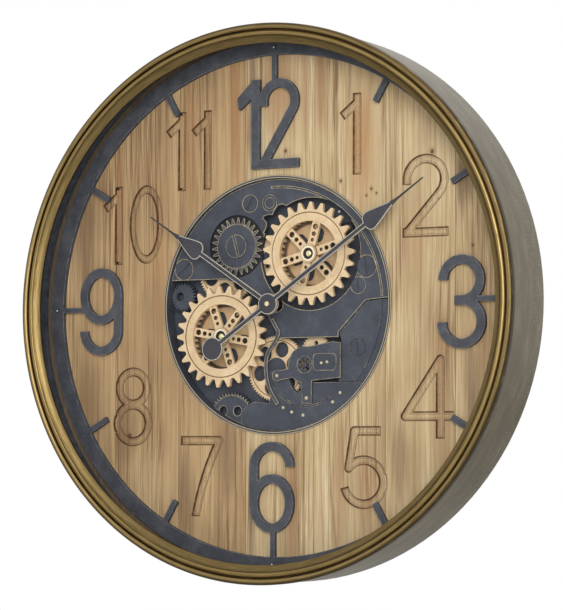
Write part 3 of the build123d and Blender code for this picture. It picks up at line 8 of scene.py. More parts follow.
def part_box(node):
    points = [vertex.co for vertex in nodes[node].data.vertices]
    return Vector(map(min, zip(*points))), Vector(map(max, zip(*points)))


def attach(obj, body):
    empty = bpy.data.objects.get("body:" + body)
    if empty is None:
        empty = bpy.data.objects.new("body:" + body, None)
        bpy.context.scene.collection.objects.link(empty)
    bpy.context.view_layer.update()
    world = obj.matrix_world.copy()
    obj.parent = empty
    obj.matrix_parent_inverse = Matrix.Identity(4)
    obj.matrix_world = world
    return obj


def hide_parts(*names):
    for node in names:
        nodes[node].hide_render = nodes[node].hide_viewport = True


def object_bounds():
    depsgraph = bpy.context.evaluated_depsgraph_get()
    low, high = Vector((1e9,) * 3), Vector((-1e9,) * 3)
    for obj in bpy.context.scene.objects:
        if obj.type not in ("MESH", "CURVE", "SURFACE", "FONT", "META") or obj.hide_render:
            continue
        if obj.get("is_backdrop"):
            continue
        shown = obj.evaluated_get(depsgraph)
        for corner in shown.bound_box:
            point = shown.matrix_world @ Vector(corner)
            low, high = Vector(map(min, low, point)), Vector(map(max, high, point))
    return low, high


# Looks for a round wall clock with a boarded dial, a cut chapter ring and a plate of turning gears.
# Metres. The wall is the plane Y = 0, the dial faces -Y, X runs to the viewer's right and Z up.

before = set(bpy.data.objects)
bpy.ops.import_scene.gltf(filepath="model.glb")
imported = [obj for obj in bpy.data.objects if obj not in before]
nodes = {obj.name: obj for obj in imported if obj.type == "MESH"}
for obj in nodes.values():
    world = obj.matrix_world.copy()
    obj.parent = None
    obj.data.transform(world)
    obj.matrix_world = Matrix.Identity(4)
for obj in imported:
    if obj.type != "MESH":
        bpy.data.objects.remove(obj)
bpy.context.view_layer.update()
MM = 0.001

# Heights off the wall and radii that the finishes need, read from the frame
wood_front = -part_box("dial_board_4")[0].y
ring_front = -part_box("chapter_ring")[0].y
plate_front = -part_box("lower_right_plate")[0].y
overlay_front = -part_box("curved_rail")[0].y
dish_front = -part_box("gear_dish")[0].y
side_front = -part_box("side_gear")[0].y
relief_front = -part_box("relief_gears")[0].y
hub_front = -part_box("upper_gear")[0].y
dish_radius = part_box("gear_dish")[1].x
case_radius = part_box("case_drum")[1].x

# Sizes that the boxes don't give, and the radii of the painted shade that the bezel's lip throws on the
# boards
gear_front = hub_front - 0.6 * MM
routed_depth = 2.0 * MM
numeral_reach = 270.0 * MM
ring_width = 15.8 * MM
tick_length = 26.0 * MM
pin_head_radius = 2.6 * MM
side_pocket_radius = 34.5 * MM
lip_shade_radii = (283.5 * MM, 288.5 * MM)


def middle(node):
    """Centre of a node's box on the dial, as (x, z)."""
    low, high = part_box(node)
    return (low.x + high.x) / 2, (low.z + high.z) / 2


def shade(red, green, blue):
    """A display colour given in 0 to 255 as a linear colour."""
    def linear(part):
        part = part / 255
        return part / 12.92 if part <= 0.04045 else ((part + 0.055) / 1.055) ** 2.4
    return linear(red), linear(green), linear(blue), 1.0


class Value:
    """A shader socket that takes part in Python arithmetic: each operator adds one Math node."""

    def __init__(self, finish, socket):
        self.finish = finish
        self.socket = socket

    def math(self, operation, *others):
        """The result of one Math node on this value and the others that it takes."""
        values = dict(enumerate((self, *others)))
        return self.finish.node("ShaderNodeMath", {"operation": operation}, values)

    def __add__(self, other):
        return self.math("ADD", other)

    def __radd__(self, other):
        return self.math("ADD", other)

    def __sub__(self, other):
        return self.math("SUBTRACT", other)

    def __mul__(self, other):
        return self.math("MULTIPLY", other)

    def __rmul__(self, other):
        return self.math("MULTIPLY", other)

    def __truediv__(self, other):
        return self.math("DIVIDE", other)

    def __pow__(self, other):
        return self.math("POWER", other)


def length(first, second):
    """Length of a step from two shader values that are its parts."""
    return (first * first + second * second).math("SQRT")


class Finish:
    """A material in the making: its shader, its object coordinates and the one maker of its nodes."""

    def __init__(self, name):
        self.material = bpy.data.materials.new(name)
        self.material.use_nodes = True
        self.tree = self.material.node_tree
        self.shader = self.tree.nodes["Principled BSDF"]
        self.place = self.node("ShaderNodeTexCoord", output="Object")
        self.x, self.y, self.z = (
            self.node("ShaderNodeSeparateXYZ", None, {0: self.place}, axis) for axis in range(3))

    def node(self, kind, settings=None, inputs=None, output=0):
        """Add a node: its settings first, then the values or links of its sockets. Returns one output."""
        made = self.tree.nodes.new(kind)
        for key, setting in (settings or {}).items():
            if key == "stops":
                stops = made.color_ramp.elements
                stops.remove(stops[1])
                stops[0].position, stops[0].color = setting[0]
                for position, colour in setting[1:]:
                    stops.new(position).color = colour
            else:
                setattr(made, key, setting)
        for key, value in (inputs or {}).items():
            self.feed(made.inputs[key], value)
        return Value(self, made.outputs[output])

    def feed(self, socket, value):
        """Link a value to a socket, or set a plain number or colour on it."""
        if isinstance(value, Value):
            self.tree.links.new(value.socket, socket)
        else:
            socket.default_value = value

    def set(self, **sockets):
        """Feed sockets of the shader, given by their names with underscores for spaces."""
        for name, value in sockets.items():
            self.feed(self.shader.inputs[name.replace("_", " ")], value)
        return self.material

    def join(self, x, y, z):
        """A vector from three values."""
        return self.node("ShaderNodeCombineXYZ", None, {0: x, 1: y, 2: z})

    def noise(self, vector, scale, detail=3.0, roughness=0.5, distortion=0.0):
        """Soft noise from 0 to 1 about one half."""
        sockets = {"Vector": vector, "Scale": scale, "Detail": detail, "Roughness": roughness,
                   "Distortion": distortion}
        return self.node("ShaderNodeTexNoise", None, sockets)

    def ease(self, value, low, high, start=0.0, end=1.0):
        """A smooth step from start at low to end at high."""
        sockets = {"Value": value, "From Min": low, "From Max": high, "To Min": start, "To Max": end}
        return self.node("ShaderNodeMapRange", {"interpolation_type": "SMOOTHSTEP"}, sockets)

    def blend(self, share, first, second):
        """One colour turning into another."""
        settings = {"data_type": "RGBA", "blend_type": "MIX"}
        return self.node("ShaderNodeMix", settings, {0: share, 6: first, 7: second}, 2)

    def ramp(self, value, stops):
        """A colour picked along a row of stops."""
        return self.node("ShaderNodeValToRGB", {"stops": stops}, {0: value})

    def bump(self, height, distance, strength=1.0):
        """A normal raised by a height from 0 to 1 over a distance in metres."""
        sockets = {"Strength": strength, "Distance": distance, "Height": height}
        return self.node("ShaderNodeBump", None, sockets)

    def attribute(self, name):
        """A number stored on the piece's own points."""
        settings = {"attribute_name": name, "attribute_type": "GEOMETRY"}
        return self.node("ShaderNodeAttribute", settings, None, "Fac")

    def marked(self, colour, centre, marks):
        """A colour with rings of other tones about a centre on the dial.

        A mark is (inner radius, outer radius, lowest height, highest height, colour, strength).
        """
        fine = 0.12 * MM
        _, _, radius = self.around(centre)
        for inner, outer, lowest, highest, tone, strength in marks:
            share = self.ease(radius, inner - fine, inner + fine, 0.0, strength)
            share = share * self.ease(radius, outer - fine, outer + fine, 1.0, 0.0)
            share = share * self.ease(self.y, -highest - fine, -highest + fine)
            share = share * self.ease(self.y, -lowest - fine, -lowest + fine, 1.0, 0.0)
            colour = self.blend(share, colour, tone)
        return colour

    def around(self, centre=(0.0, 0.0)):
        """Steps from a centre on the dial along x and z, and the distance from it."""
        away_x = self.x - centre[0]
        away_z = self.z - centre[1]
        return away_x, away_z, length(away_x, away_z)


def fir_board(name, seed, pitch, tones, knots, stains):
    """Softwood with upright grain: early wood darkens to late wood and drops back at each ring.

    The ring count is (x + drift) / pitch plus slow noise, and its fraction to the fifth power is late wood.
    Rings, fibres and threads are faint where the wood is calm and strong where it is lively, over broad bands
    and patches. Knots are (x, z, size), stains (x, z, half width, half height, strength, colour). Painted
    shade of the bezel's lip darkens the rim, the routed floors are lightly stippled, and the attribute burn
    turns the wood to scorched brown.
    """
    light, main, dark = tones
    wood = Finish(name)
    along = wood.z + seed * 0.731
    drift = wood.noise(wood.join(wood.x * 14.0, seed, along * 6.0), 1.0, 2.0)
    across = wood.x + seed * 0.0137 + (drift - 0.5) * 9.0 * MM

    def streaks(across_scale, along_scale, detail, roughness=0.5, shift=0.0):
        """Noise drawn out along the grain."""
        vector = wood.join(across * across_scale, seed + shift, along * along_scale)
        return wood.noise(vector, 1.0, detail, roughness)

    slow = streaks(9.0, 1.1, 2.0)
    ring = (across / pitch + slow * 8.0).math("FRACT")
    late = (ring ** 5.0) * wood.ease(ring, 0.93, 1.0, 1.0, 0.1)
    fibre = streaks(760.0, 15.0, 3.0, 0.65)
    grain = streaks(290.0, 7.0, 4.0, 0.65)
    bands = streaks(42.0, 2.6, 3.0, 0.55)
    patch = streaks(17.0, 7.0, 3.0)
    calm = streaks(26.0, 3.2, 2.0, shift=7.0)
    lively = wood.ease(calm, 0.38, 0.62, 0.50, 1.50)
    lines = late * 0.36 + (fibre - 0.5) * 1.15 + (grain - 0.5) * 0.95
    depth = 0.43 + lines * lively + (bands - 0.5) * 0.75 + (patch - 0.5) * 0.85
    colour = wood.ramp(depth, [(0.0, light), (0.47, main), (1.0, dark)])
    thread = streaks(300.0, 3.0, 3.0, 0.6, shift=3.0)
    colour = wood.blend(wood.ease(thread, 0.57, 0.71) * lively * 0.55, colour, groove_brown)
    for stain_x, stain_z, half_width, half_height, strength, tone in stains:
        away = length((wood.x - stain_x) / half_width, (wood.z - stain_z) / half_height)
        spread = away + (grain - 0.5) * 2.2 + (fibre - 0.5) * 1.4
        colour = wood.blend(wood.ease(spread, 0.30, 1.05, strength, 0.0), colour, tone)
    for knot_x, knot_z, size in knots:
        away = length((wood.x - knot_x) / size, (wood.z - knot_z) / (size * 1.25))
        colour = wood.blend(wood.ease(away, 0.9, 2.6, 0.35, 0.0), colour, shade(128, 92, 60))
        colour = wood.blend(wood.ease(away, 0.55, 1.05, 0.85, 0.0), colour, shade(72, 46, 30))
    # Painted shade of the bezel's lip over the boards' rim
    _, _, radius = wood.around()
    colour = wood.blend(wood.ease(radius, *lip_shade_radii) * 0.75, colour, shade(72, 66, 60))
    routed = wood.ease(wood.y + wood_front, 1.0 * MM, 1.7 * MM)
    stipple = wood.noise(wood.place, 620.0, 2.0, 0.5)
    colour = wood.blend(routed * wood.ease(stipple, 0.52, 0.66) * 0.38, colour, shade(118, 84, 52))
    burn = wood.attribute("burn")
    char = burn * (0.45 + 0.85 * wood.noise(wood.place, 160.0, 2.0))
    colour = wood.blend(char.math("MINIMUM", 1.0), colour, shade(80, 52, 30))
    height = late * 0.3 + fibre * 0.5 + routed * stipple
    return wood.set(Base_Color=colour, Roughness=0.54 + 0.16 * fibre, Specular_IOR_Level=0.3,
                    Normal=wood.bump(height, 0.25 * MM, 0.6))


def slate_navy(name, tones, hammer, rubbed, centre=(0.0, 0.0), marks=()):
    """Matte slate navy paint, mottled and hammered, worn through to a metal where the attribute rub says so.

    The marks about a centre are those of Finish.marked; on the main plate they are painted shade.
    """
    paint = Finish(name)
    mottle = paint.noise(paint.place, 46.0, 4.0, 0.6)
    speck = paint.noise(paint.place, 620.0, 2.0, 0.6)
    colour = paint.ramp(mottle * 0.62 + speck * 0.38, list(zip((0.25, 0.5, 0.78), tones)))
    colour = paint.marked(colour, centre, marks)
    wear = paint.attribute("rub")
    patch = paint.noise(paint.place, 170.0, 3.0, 0.6)
    share = paint.ease(wear + (patch - 0.5) * 0.9, 0.35, 0.75)
    colour = paint.blend(share, colour, rubbed)
    roughness = paint.ease(share, 0.0, 1.0, 0.58, 0.40) + 0.2 * speck
    dimple = paint.noise(paint.place, 210.0, 2.0, 0.5)
    return paint.set(Base_Color=colour, Roughness=roughness, Specular_IOR_Level=0.4, Metallic=share * 0.3,
                     Normal=paint.bump(dimple * 0.75 + speck * 0.25, hammer, 0.7))


def champagne_gold(name, centre, marks, holes=None):
    """Pale gold paint with a dusty mottle, and marks and painted shade about a centre.

    Holes are (bearing of a spoke, [(distance, radius), ...]) on each spoke, and their walls are darkened as
    painted shade. The bearing of a point is folded to the nearest spoke by the fraction of its count of
    spokes, which two whole turns keep above zero.
    """
    gold = Finish(name)
    mottle = gold.noise(gold.place, 85.0, 4.0, 0.6)
    speck = gold.noise(gold.place, 700.0, 2.0, 0.5)
    colour = gold.ramp(mottle * 0.6 + speck * 0.4, [
        (0.22, shade(184, 153, 114)), (0.5, shade(217, 190, 150)), (0.8, shade(236, 216, 182))])
    colour = gold.marked(colour, centre, marks)
    if holes is not None:
        bearing, drilled = holes
        spoke_count = 6
        pitch = 2 * math.pi / spoke_count
        away_x, away_z, radius = gold.around(centre)
        turn = away_z.math("ARCTAN2", away_x) / pitch + (0.5 - bearing / pitch + 2 * spoke_count)
        fold = (turn.math("FRACT") - 0.5) * pitch
        along = radius * fold.math("COSINE")
        aside = radius * fold.math("SINE")
        # Painted shade down the walls of the spoke holes
        for distance, drill in drilled:
            near = length(along - distance, aside)
            wall = gold.ease(near, drill + 0.05 * MM, drill + 0.4 * MM, 0.9, 0.0)
            colour = gold.blend(wall, colour, shade(58, 38, 26))
    return gold.set(Base_Color=colour, Roughness=0.42 + 0.18 * speck, Metallic=0.2,
                    Normal=gold.bump(speck * 0.6 + mottle * 0.4, 0.12 * MM, 0.5))


def antique_brass(name):
    """Brass turned and brushed round the axis, painted light and shade along the profile by the attribute
    band.
    """
    brass = Finish(name)
    _, _, radius = brass.around()
    cosine, sine = brass.x / radius, brass.z / radius
    brush = brass.noise(brass.join(cosine * 7.0, sine * 7.0, radius * 2400.0), 1.0, 3.0, 0.65)
    cloud = brass.noise(brass.join(cosine * 5.0, sine * 5.0, radius * 120.0), 1.0, 3.0, 0.5)
    # Painted highlights on the bead's crest and the ridge, painted shade down the bead's outer flank
    # Painted shade at the step into the hollow and under the lip; the groove's dark is patina and painted
    # shade
    colour = brass.ramp(brass.attribute("band"), [
        (0.00, shade(50, 42, 26)), (0.07, shade(70, 58, 36)), (0.11, shade(100, 84, 53)),
        (0.15, shade(152, 132, 88)), (0.20, shade(142, 119, 75)), (0.235, shade(92, 68, 34)),
        (0.26, shade(56, 39, 18)), (0.285, shade(30, 22, 12)), (0.31, shade(70, 51, 25)),
        (0.335, shade(148, 126, 79)), (0.50, shade(146, 124, 77)), (0.535, shade(44, 33, 17)),
        (0.565, shade(94, 78, 46)), (0.70, shade(120, 102, 64)), (0.93, shade(115, 97, 60)),
        (0.97, shade(50, 40, 22)), (1.00, shade(28, 23, 15))])
    streak = brass.noise(brass.join(cosine * 16.0, sine * 16.0, radius * 1300.0), 1.0, 3.0, 0.6)
    colour = brass.blend(brass.ease(streak, 0.50, 0.72) * 0.55, colour, shade(66, 48, 24))
    colour = brass.blend(brass.ease(streak, 0.46, 0.32) * 0.30, colour, shade(160, 138, 90))
    colour = brass.blend(brass.ease(brush, 0.35, 0.75) * 0.5, colour, shade(70, 54, 28))
    colour = brass.blend(brass.ease(cloud, 0.55, 0.85) * 0.3, colour, shade(92, 74, 42))
    return brass.set(Base_Color=colour, Metallic=0.92, Roughness=0.27 + 0.16 * brush,
                     Normal=brass.bump(brush, 0.07 * MM, 0.5))


def brushed_pewter(name):
    """Bronze-grey sheet brushed round its rim, cloudy and pitted to the rear, and scratched slate inside."""
    sheet = Finish(name)
    _, _, radius = sheet.around()
    cosine, sine = sheet.x / radius, sheet.z / radius
    brush = sheet.noise(sheet.join(cosine * 9.0, sine * 9.0, sheet.y * 900.0), 1.0, 3.0, 0.6)
    cloud = sheet.noise(sheet.join(cosine * 7.0, sine * 7.0, sheet.y * 70.0), 1.0, 3.0, 0.55)
    colour = sheet.ramp(brush * 0.5 + cloud * 0.5,
                        [(0.25, shade(70, 60, 40)), (0.5, shade(96, 86, 61)), (0.78, shade(136, 126, 100))])
    pits = sheet.noise(sheet.place, 420.0, 2.0, 0.6)
    pitted = sheet.ease(pits, 0.60, 0.68) * sheet.ease(sheet.y, -0.050, -0.012, 0.0, 0.6)
    colour = sheet.blend(pitted, colour, shade(168, 162, 148))
    outside = sheet.ease(radius, case_radius - 1.6 * MM, case_radius - 0.8 * MM)
    mottle = sheet.noise(sheet.place, 120.0, 3.0, 0.6)
    slate = sheet.ramp(mottle, [(0.3, shade(46, 51, 60)), (0.7, shade(80, 86, 96))])
    scratch = sheet.noise(sheet.join(cosine * 3.0, sine * 3.0, sheet.y * 520.0), 1.0, 2.0, 0.5)
    slate = sheet.blend(sheet.ease(scratch, 0.60, 0.72) * 0.5, slate, shade(128, 122, 108))
    colour = sheet.blend(outside, slate, colour)
    return sheet.set(Base_Color=colour, Metallic=outside * 0.7, Roughness=0.38 + 0.16 * brush,
                     Normal=sheet.bump(brush + pits, 0.06 * MM, 0.4),
                     Coat_Weight=outside * 0.32, Coat_Roughness=0.3)


def plain_metal(name, colour, roughness, worn):
    """Small metal parts: one colour with fine scratches and a worn tone."""
    metal = Finish(name)
    scratch = metal.noise(metal.place, 900.0, 3.0, 0.7)
    cloud = metal.noise(metal.place, 120.0, 3.0, 0.5)
    tone = metal.blend(metal.ease(cloud, 0.4, 0.8) * 0.5, colour, worn)
    return metal.set(Base_Color=tone, Metallic=1.0, Roughness=roughness + 0.15 * scratch,
                     Normal=metal.bump(scratch, 0.03 * MM, 0.4))


def pin_heads(name, reach):
    """Slate pin heads on the four quarter points of a circle, with a painted highlight in the middle.

    The larger of |x| and |z| less the reach, and the smaller, are the steps from the nearest pin's axis.
    """
    head = Finish(name)
    wide, tall = head.x.math("ABSOLUTE"), head.z.math("ABSOLUTE")
    away = length(wide.math("MAXIMUM", tall) - reach, wide.math("MINIMUM", tall))
    speck = head.noise(head.place, 900.0, 2.0, 0.5)
    # A painted highlight: a pale spot on the middle of each head
    bright = head.ease(away + (speck - 0.5) * 0.8 * MM, 0.8 * MM, 1.2 * MM, 1.0, 0.0)
    colour = head.blend(bright, shade(58, 60, 66), shade(214, 212, 204))
    return head.set(Base_Color=colour, Roughness=0.3 + 0.1 * speck, Normal=head.bump(speck, 0.03 * MM, 0.4))


def moulded(name, colour, roughness, grain):
    """Moulded plastic or rubber with a fine spark-eroded grain."""
    plastic = Finish(name)
    pebble = plastic.noise(plastic.place, 1500.0, 2.0, 0.5)
    cloud = plastic.noise(plastic.place, 60.0, 2.0, 0.5)
    dark = tuple(part * 0.72 for part in colour[:3]) + (1.0,)
    tone = plastic.blend(plastic.ease(cloud, 0.35, 0.75) * 0.6, colour, dark)
    return plastic.set(Base_Color=tone, Roughness=roughness + 0.12 * pebble,
                       Normal=plastic.bump(pebble, grain, 0.5))


def hardboard(name):
    """Brown pressed board with short random fibres."""
    board = Finish(name)
    fibre = board.noise(board.place, 320.0, 4.0, 0.7, 1.5)
    cloud = board.noise(board.place, 18.0, 3.0, 0.5)
    colour = board.ramp(fibre * 0.6 + cloud * 0.4,
                        [(0.25, shade(92, 66, 42)), (0.5, shade(122, 92, 62)), (0.78, shade(150, 120, 86))])
    return board.set(Base_Color=colour, Roughness=0.75 + 0.1 * fibre,
                     Normal=board.bump(fibre, 0.15 * MM, 0.6))


def dress(node, material):
    """Give a CAD node its finish in place of the plain one."""
    slots = nodes[node].data.materials
    slots.clear()
    slots.append(material)


def placed(name, data):
    """A new object of the scene that shows some data."""
    made = bpy.data.objects.new(name, data)
    bpy.context.scene.collection.objects.link(made)
    return made


def made_piece(name, points, faces, body, material, attribute=None, strength=None):
    """A mesh piece from arrays of points and faces that rides a body, with a number stored on its points."""
    mesh = bpy.data.meshes.new(name)
    mesh.from_pydata(points.tolist(), [], faces.tolist())
    if attribute is not None:
        stored = mesh.attributes.new(attribute, "FLOAT", "POINT")
        stored.data.foreach_set("value", strength.astype(np.float32))
    mesh.materials.append(material)
    piece = placed(name, mesh)
    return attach(piece, body)


def arc_through(first, between, last, count):
    """Points on the circle through three points, from the first to the last by way of the one between.

    The centre is where the two perpendicular bisectors meet, and the bearing runs evenly between the ends.
    """
    first, between, last = (np.array(point, float) for point in (first, between, last))
    sides = np.array([between - first, last - first])
    centre = np.linalg.solve(2 * sides, np.array([between @ between, last @ last]) - first @ first)
    start, halfway, end = (np.arctan2(*(point - centre)[::-1]) for point in (first, between, last))
    halfway = start + np.mod(halfway - start, 2 * np.pi)
    end = start + np.mod(end - start, 2 * np.pi)
    if halfway > end:
        end -= 2 * np.pi
    bearing = np.linspace(start, end, count)
    return centre + np.hypot(*(first - centre)) * np.stack([np.cos(bearing), np.sin(bearing)], axis=1)


def turned_ring(name, profile, band, segments, body, material):
    """A closed profile of (radius, height off the wall) carried round the hand axis.

    A point at radius r, height h and bearing a lies at (r cos a, -h, r sin a). The band is one number for
    each point of the profile, stored on all of its copies.
    """
    bearing = np.linspace(0, 2 * np.pi, segments, endpoint=False)
    radius, height = profile[:, 0], profile[:, 1]
    points = np.stack([np.cos(bearing)[:, None] * radius, np.tile(-height, (segments, 1)),
                       np.sin(bearing)[:, None] * radius], axis=2)
    rows = len(profile)
    here = np.arange(segments)[:, None] * rows
    there = (np.arange(segments)[:, None] + 1) % segments * rows
    step, onward = np.arange(rows), (np.arange(rows) + 1) % rows
    faces = np.stack([here + step, there + step, there + onward, here + onward], axis=2).reshape(-1, 4)
    piece = made_piece(name, points.reshape(-1, 3), faces, body, material, "band", np.tile(band, segments))
    piece.data.set_sharp_from_angle(angle=math.radians(35))
    return piece


def flat_plate(name, outline, front, back, body, material):
    """A plate between two heights off the wall, with a clockwise outline of (x, z).

    Both faces are fans of triangles (0, i, i + 1) from the first corner, which sees the whole outline.
    """
    count = len(outline)
    across, upright = outline.T
    points = np.stack([np.tile(across, 2), np.repeat([-front, -back], count), np.tile(upright, 2)], axis=1)
    here = np.arange(count)
    there = (here + 1) % count
    fan = here[1:-1]
    faces = np.concatenate([
        np.stack([0 * fan, fan + 1, fan], axis=1),
        np.stack([0 * fan, fan, fan + 1], axis=1) + count,
        np.stack([here, there, there + count], axis=1),
        np.stack([here, there + count, here + count], axis=1)])
    return made_piece(name, points, faces, body, material)


def front_rim(node, height):
    """Boundary of a node's front face at one height off the wall.

    Points that share a micrometre are welded first. Triangles on that plane share inner edges in both
    directions, so an edge found in one direction only is on the boundary. Returns the ends of each boundary
    edge and the mitred directions into the face there: the mean of both edges' inward normals over its share
    along one of them, up to twice its length.
    """
    per_metre, level_gap, least_share = 1e6, 0.02 * MM, 0.5
    mesh = nodes[node].data
    mesh.calc_loop_triangles()
    points = np.empty(len(mesh.vertices) * 3)
    mesh.vertices.foreach_get("co", points)
    points = points.reshape(-1, 3)
    corners = np.empty(len(mesh.loop_triangles) * 3, np.int64)
    mesh.loop_triangles.foreach_get("vertices", corners)
    grid = np.round(points * per_metre).astype(np.int64)
    _, first, weld = np.unique(grid, axis=0, return_index=True, return_inverse=True)
    spots = points[first]
    faces = weld.ravel()[corners].reshape(-1, 3)
    level = np.all(np.abs(spots[faces][:, :, 1] + height) < level_gap, axis=1)
    sides = np.cross(spots[faces[:, 1]] - spots[faces[:, 0]], spots[faces[:, 2]] - spots[faces[:, 0]])
    faces = faces[level & (sides[:, 1] < 0)]
    edges = np.concatenate([faces[:, [0, 1]], faces[:, [1, 2]], faces[:, [2, 0]]])
    forward = edges[:, 0] * len(spots) + edges[:, 1]
    backward = edges[:, 1] * len(spots) + edges[:, 0]
    rim = edges[~np.isin(forward, backward)]
    ends = spots[rim][:, :, [0, 2]]
    along = ends[:, 1] - ends[:, 0]
    along = along / np.linalg.norm(along, axis=1, keepdims=True)
    inward = np.stack([-along[:, 1], along[:, 0]], axis=1)
    total = np.zeros((len(spots), 2))
    np.add.at(total, rim[:, 0], inward)
    np.add.at(total, rim[:, 1], inward)
    mean = total[rim]
    mean = mean / np.maximum(np.linalg.norm(mean, axis=2, keepdims=True), 1e-9)
    share = np.sum(mean * inward[:, None, :], axis=2, keepdims=True)
    return ends, mean / np.maximum(share, least_share)


def rim_strip(name, node, body, height, profile, attribute, material, keep=None):
    """A thin strip along the boundary of a node's front face: a profile carried along every edge.

    The profile lists (distance into the face, height above it, strength), and the strength is stored on
    the points under the attribute's name. keep picks edges by their middle.
    """
    ends, inward = front_rim(node, height)
    if keep is not None:
        chosen = keep(ends.mean(axis=1))
        ends, inward = ends[chosen], inward[chosen]
    into, above, strength = (np.array(column) for column in zip(*profile))
    flat = ends[:, :, None, :] + inward[:, :, None, :] * into[None, None, :, None]
    points = np.empty(flat.shape[:3] + (3,))
    points[..., 0] = flat[..., 0]
    points[..., 1] = -(height + above)[None, None, :]
    points[..., 2] = flat[..., 1]
    rows = len(profile)
    start = np.arange(len(ends))[:, None] * 2 * rows + np.arange(rows - 1)[None, :]
    faces = np.stack([start, start + 1, start + rows + 1, start + rows], axis=2).reshape(-1, 4)
    strengths = np.tile(strength, 2 * len(ends))
    return made_piece(name, points.reshape(-1, 3), faces, body, material, attribute, strengths)


# Finishes that several nodes share
gold_rub = shade(206, 188, 148)
grey_rub = shade(150, 152, 156)
hand_rub = shade(222, 212, 190)
groove_brown = shade(104, 74, 48)
ring_tones = (shade(42, 44, 50), shade(66, 68, 74), shade(94, 96, 101))
plate_tones = (shade(44, 47, 55), shade(62, 66, 75), shade(86, 90, 98))
hand_tones = (shade(40, 40, 46), shade(55, 55, 62), shade(72, 72, 80))
ring_navy = slate_navy("ring_navy", ring_tones, 0.8 * MM, grey_rub)
plate_navy = slate_navy("plate_navy", plate_tones, 0.14 * MM, gold_rub)
# Painted shade on the floor of the pocket round the side gear, below the plate's front
side_pocket_shade = [(0.0, side_pocket_radius, 0.0, plate_front - 0.3 * MM, shade(20, 21, 24), 0.9)]
main_navy = slate_navy("main_navy", plate_tones, 0.14 * MM, gold_rub, middle("side_gear"), side_pocket_shade)
hand_navy = slate_navy("hand_navy", hand_tones, 0.06 * MM, hand_rub)
pale_pins = moulded("pale_pins", shade(200, 190, 160), 0.30, 0.01 * MM)
steel = plain_metal("bright_steel", shade(205, 200, 190), 0.24, shade(150, 142, 128))
pale_brass = plain_metal("pale_brass", shade(232, 224, 182), 0.30, shade(204, 190, 140))
brass_parts = plain_metal("turned_brass", shade(206, 170, 98), 0.28, shade(150, 116, 60))
black_plastic = moulded("black_plastic", shade(38, 38, 40), 0.48, 0.05 * MM)
white_plastic = moulded("natural_plastic", shade(226, 224, 214), 0.42, 0.03 * MM)
red_plastic = moulded("red_plastic", shade(168, 38, 30), 0.40, 0.03 * MM)
sleeve = moulded("lead_sleeve", shade(40, 40, 42), 0.60, 0.04 * MM)
bumper_rubber = moulded("bumper_rubber", shade(52, 52, 52), 0.75, 0.08 * MM)
cell_wrap = moulded("cell_wrap", shade(58, 74, 98), 0.30, 0.01 * MM)
motor_metal = plain_metal("motor_metal", shade(176, 176, 174), 0.34, shade(130, 128, 122))

# Boards: seed, ring pitch, tones, then knots and stains as fir_board takes them
tan = (shade(198, 168, 126), shade(170, 141, 102), shade(118, 90, 64))
straw = (shade(218, 200, 162), shade(184, 159, 120), shade(126, 100, 72))
rust = shade(150, 108, 72)
umber = shade(104, 80, 60)
boards = {
    1: (1.7, 7.5 * MM, tan, [(-0.262, -0.082, 2.2 * MM)],
        [(-0.245, 0.090, 0.020, 0.090, 0.6, umber), (-0.240, -0.105, 0.020, 0.070, 0.5, umber)]),
    2: (5.3, 6.5 * MM, tan, [(-0.186, -0.142, 3.0 * MM)],
        [(-0.204, 0.125, 0.010, 0.100, 0.6, rust), (-0.148, 0.050, 0.012, 0.120, 0.4, rust),
         (-0.196, -0.135, 0.022, 0.045, 0.5, umber),
         (-0.150, -0.200, 0.030, 0.060, 0.3, shade(196, 172, 134))]),
    3: (9.1, 8.5 * MM, tan, [],
        [(-0.109, 0.190, 0.012, 0.110, 0.5, rust), (-0.052, 0.210, 0.009, 0.110, 0.7, rust),
         (-0.112, -0.225, 0.016, 0.070, 0.6, umber), (-0.060, -0.165, 0.018, 0.060, 0.55, umber),
         (-0.085, -0.185, 0.012, 0.080, 0.4, shade(200, 172, 130))]),
    4: (13.4, 6.0 * MM, straw, [(0.012, 0.167, 2.0 * MM)],
        [(-0.030, 0.225, 0.007, 0.110, 0.7, umber), (-0.029, -0.220, 0.006, 0.090, 0.8, umber),
         (0.004, 0.240, 0.034, 0.070, 0.55, rust), (0.022, -0.215, 0.010, 0.110, 0.5, rust),
         (0.036, 0.235, 0.006, 0.090, 0.45, rust)]),
    5: (17.9, 11.0 * MM, straw,
        [(0.080, 0.131, 1.6 * MM), (0.117, 0.121, 1.5 * MM), (0.123, 0.116, 1.2 * MM),
         (0.111, 0.114, 1.2 * MM)],
        [(0.104, 0.165, 0.020, 0.075, 0.7, shade(172, 128, 86)), (0.055, 0.240, 0.006, 0.070, 0.6, rust),
         (0.078, -0.215, 0.010, 0.110, 0.4, rust), (0.112, -0.200, 0.016, 0.060, 0.35, rust)]),
    6: (23.6, 7.0 * MM, straw, [(0.189, 0.157, 2.4 * MM)],
        [(0.165, 0.080, 0.020, 0.080, 0.35, rust), (0.200, -0.100, 0.012, 0.120, 0.4, rust),
         (0.150, -0.170, 0.012, 0.050, 0.5, umber)]),
    7: (28.2, 6.5 * MM, straw, [(0.236, 0.056, 1.6 * MM), (0.205, -0.150, 1.8 * MM)],
        [(0.224, 0.126, 0.014, 0.040, 0.7, umber), (0.236, 0.045, 0.004, 0.050, 0.6, umber),
         (0.250, -0.030, 0.010, 0.080, 0.4, rust), (0.234, -0.080, 0.010, 0.060, 0.55, umber)]),
}

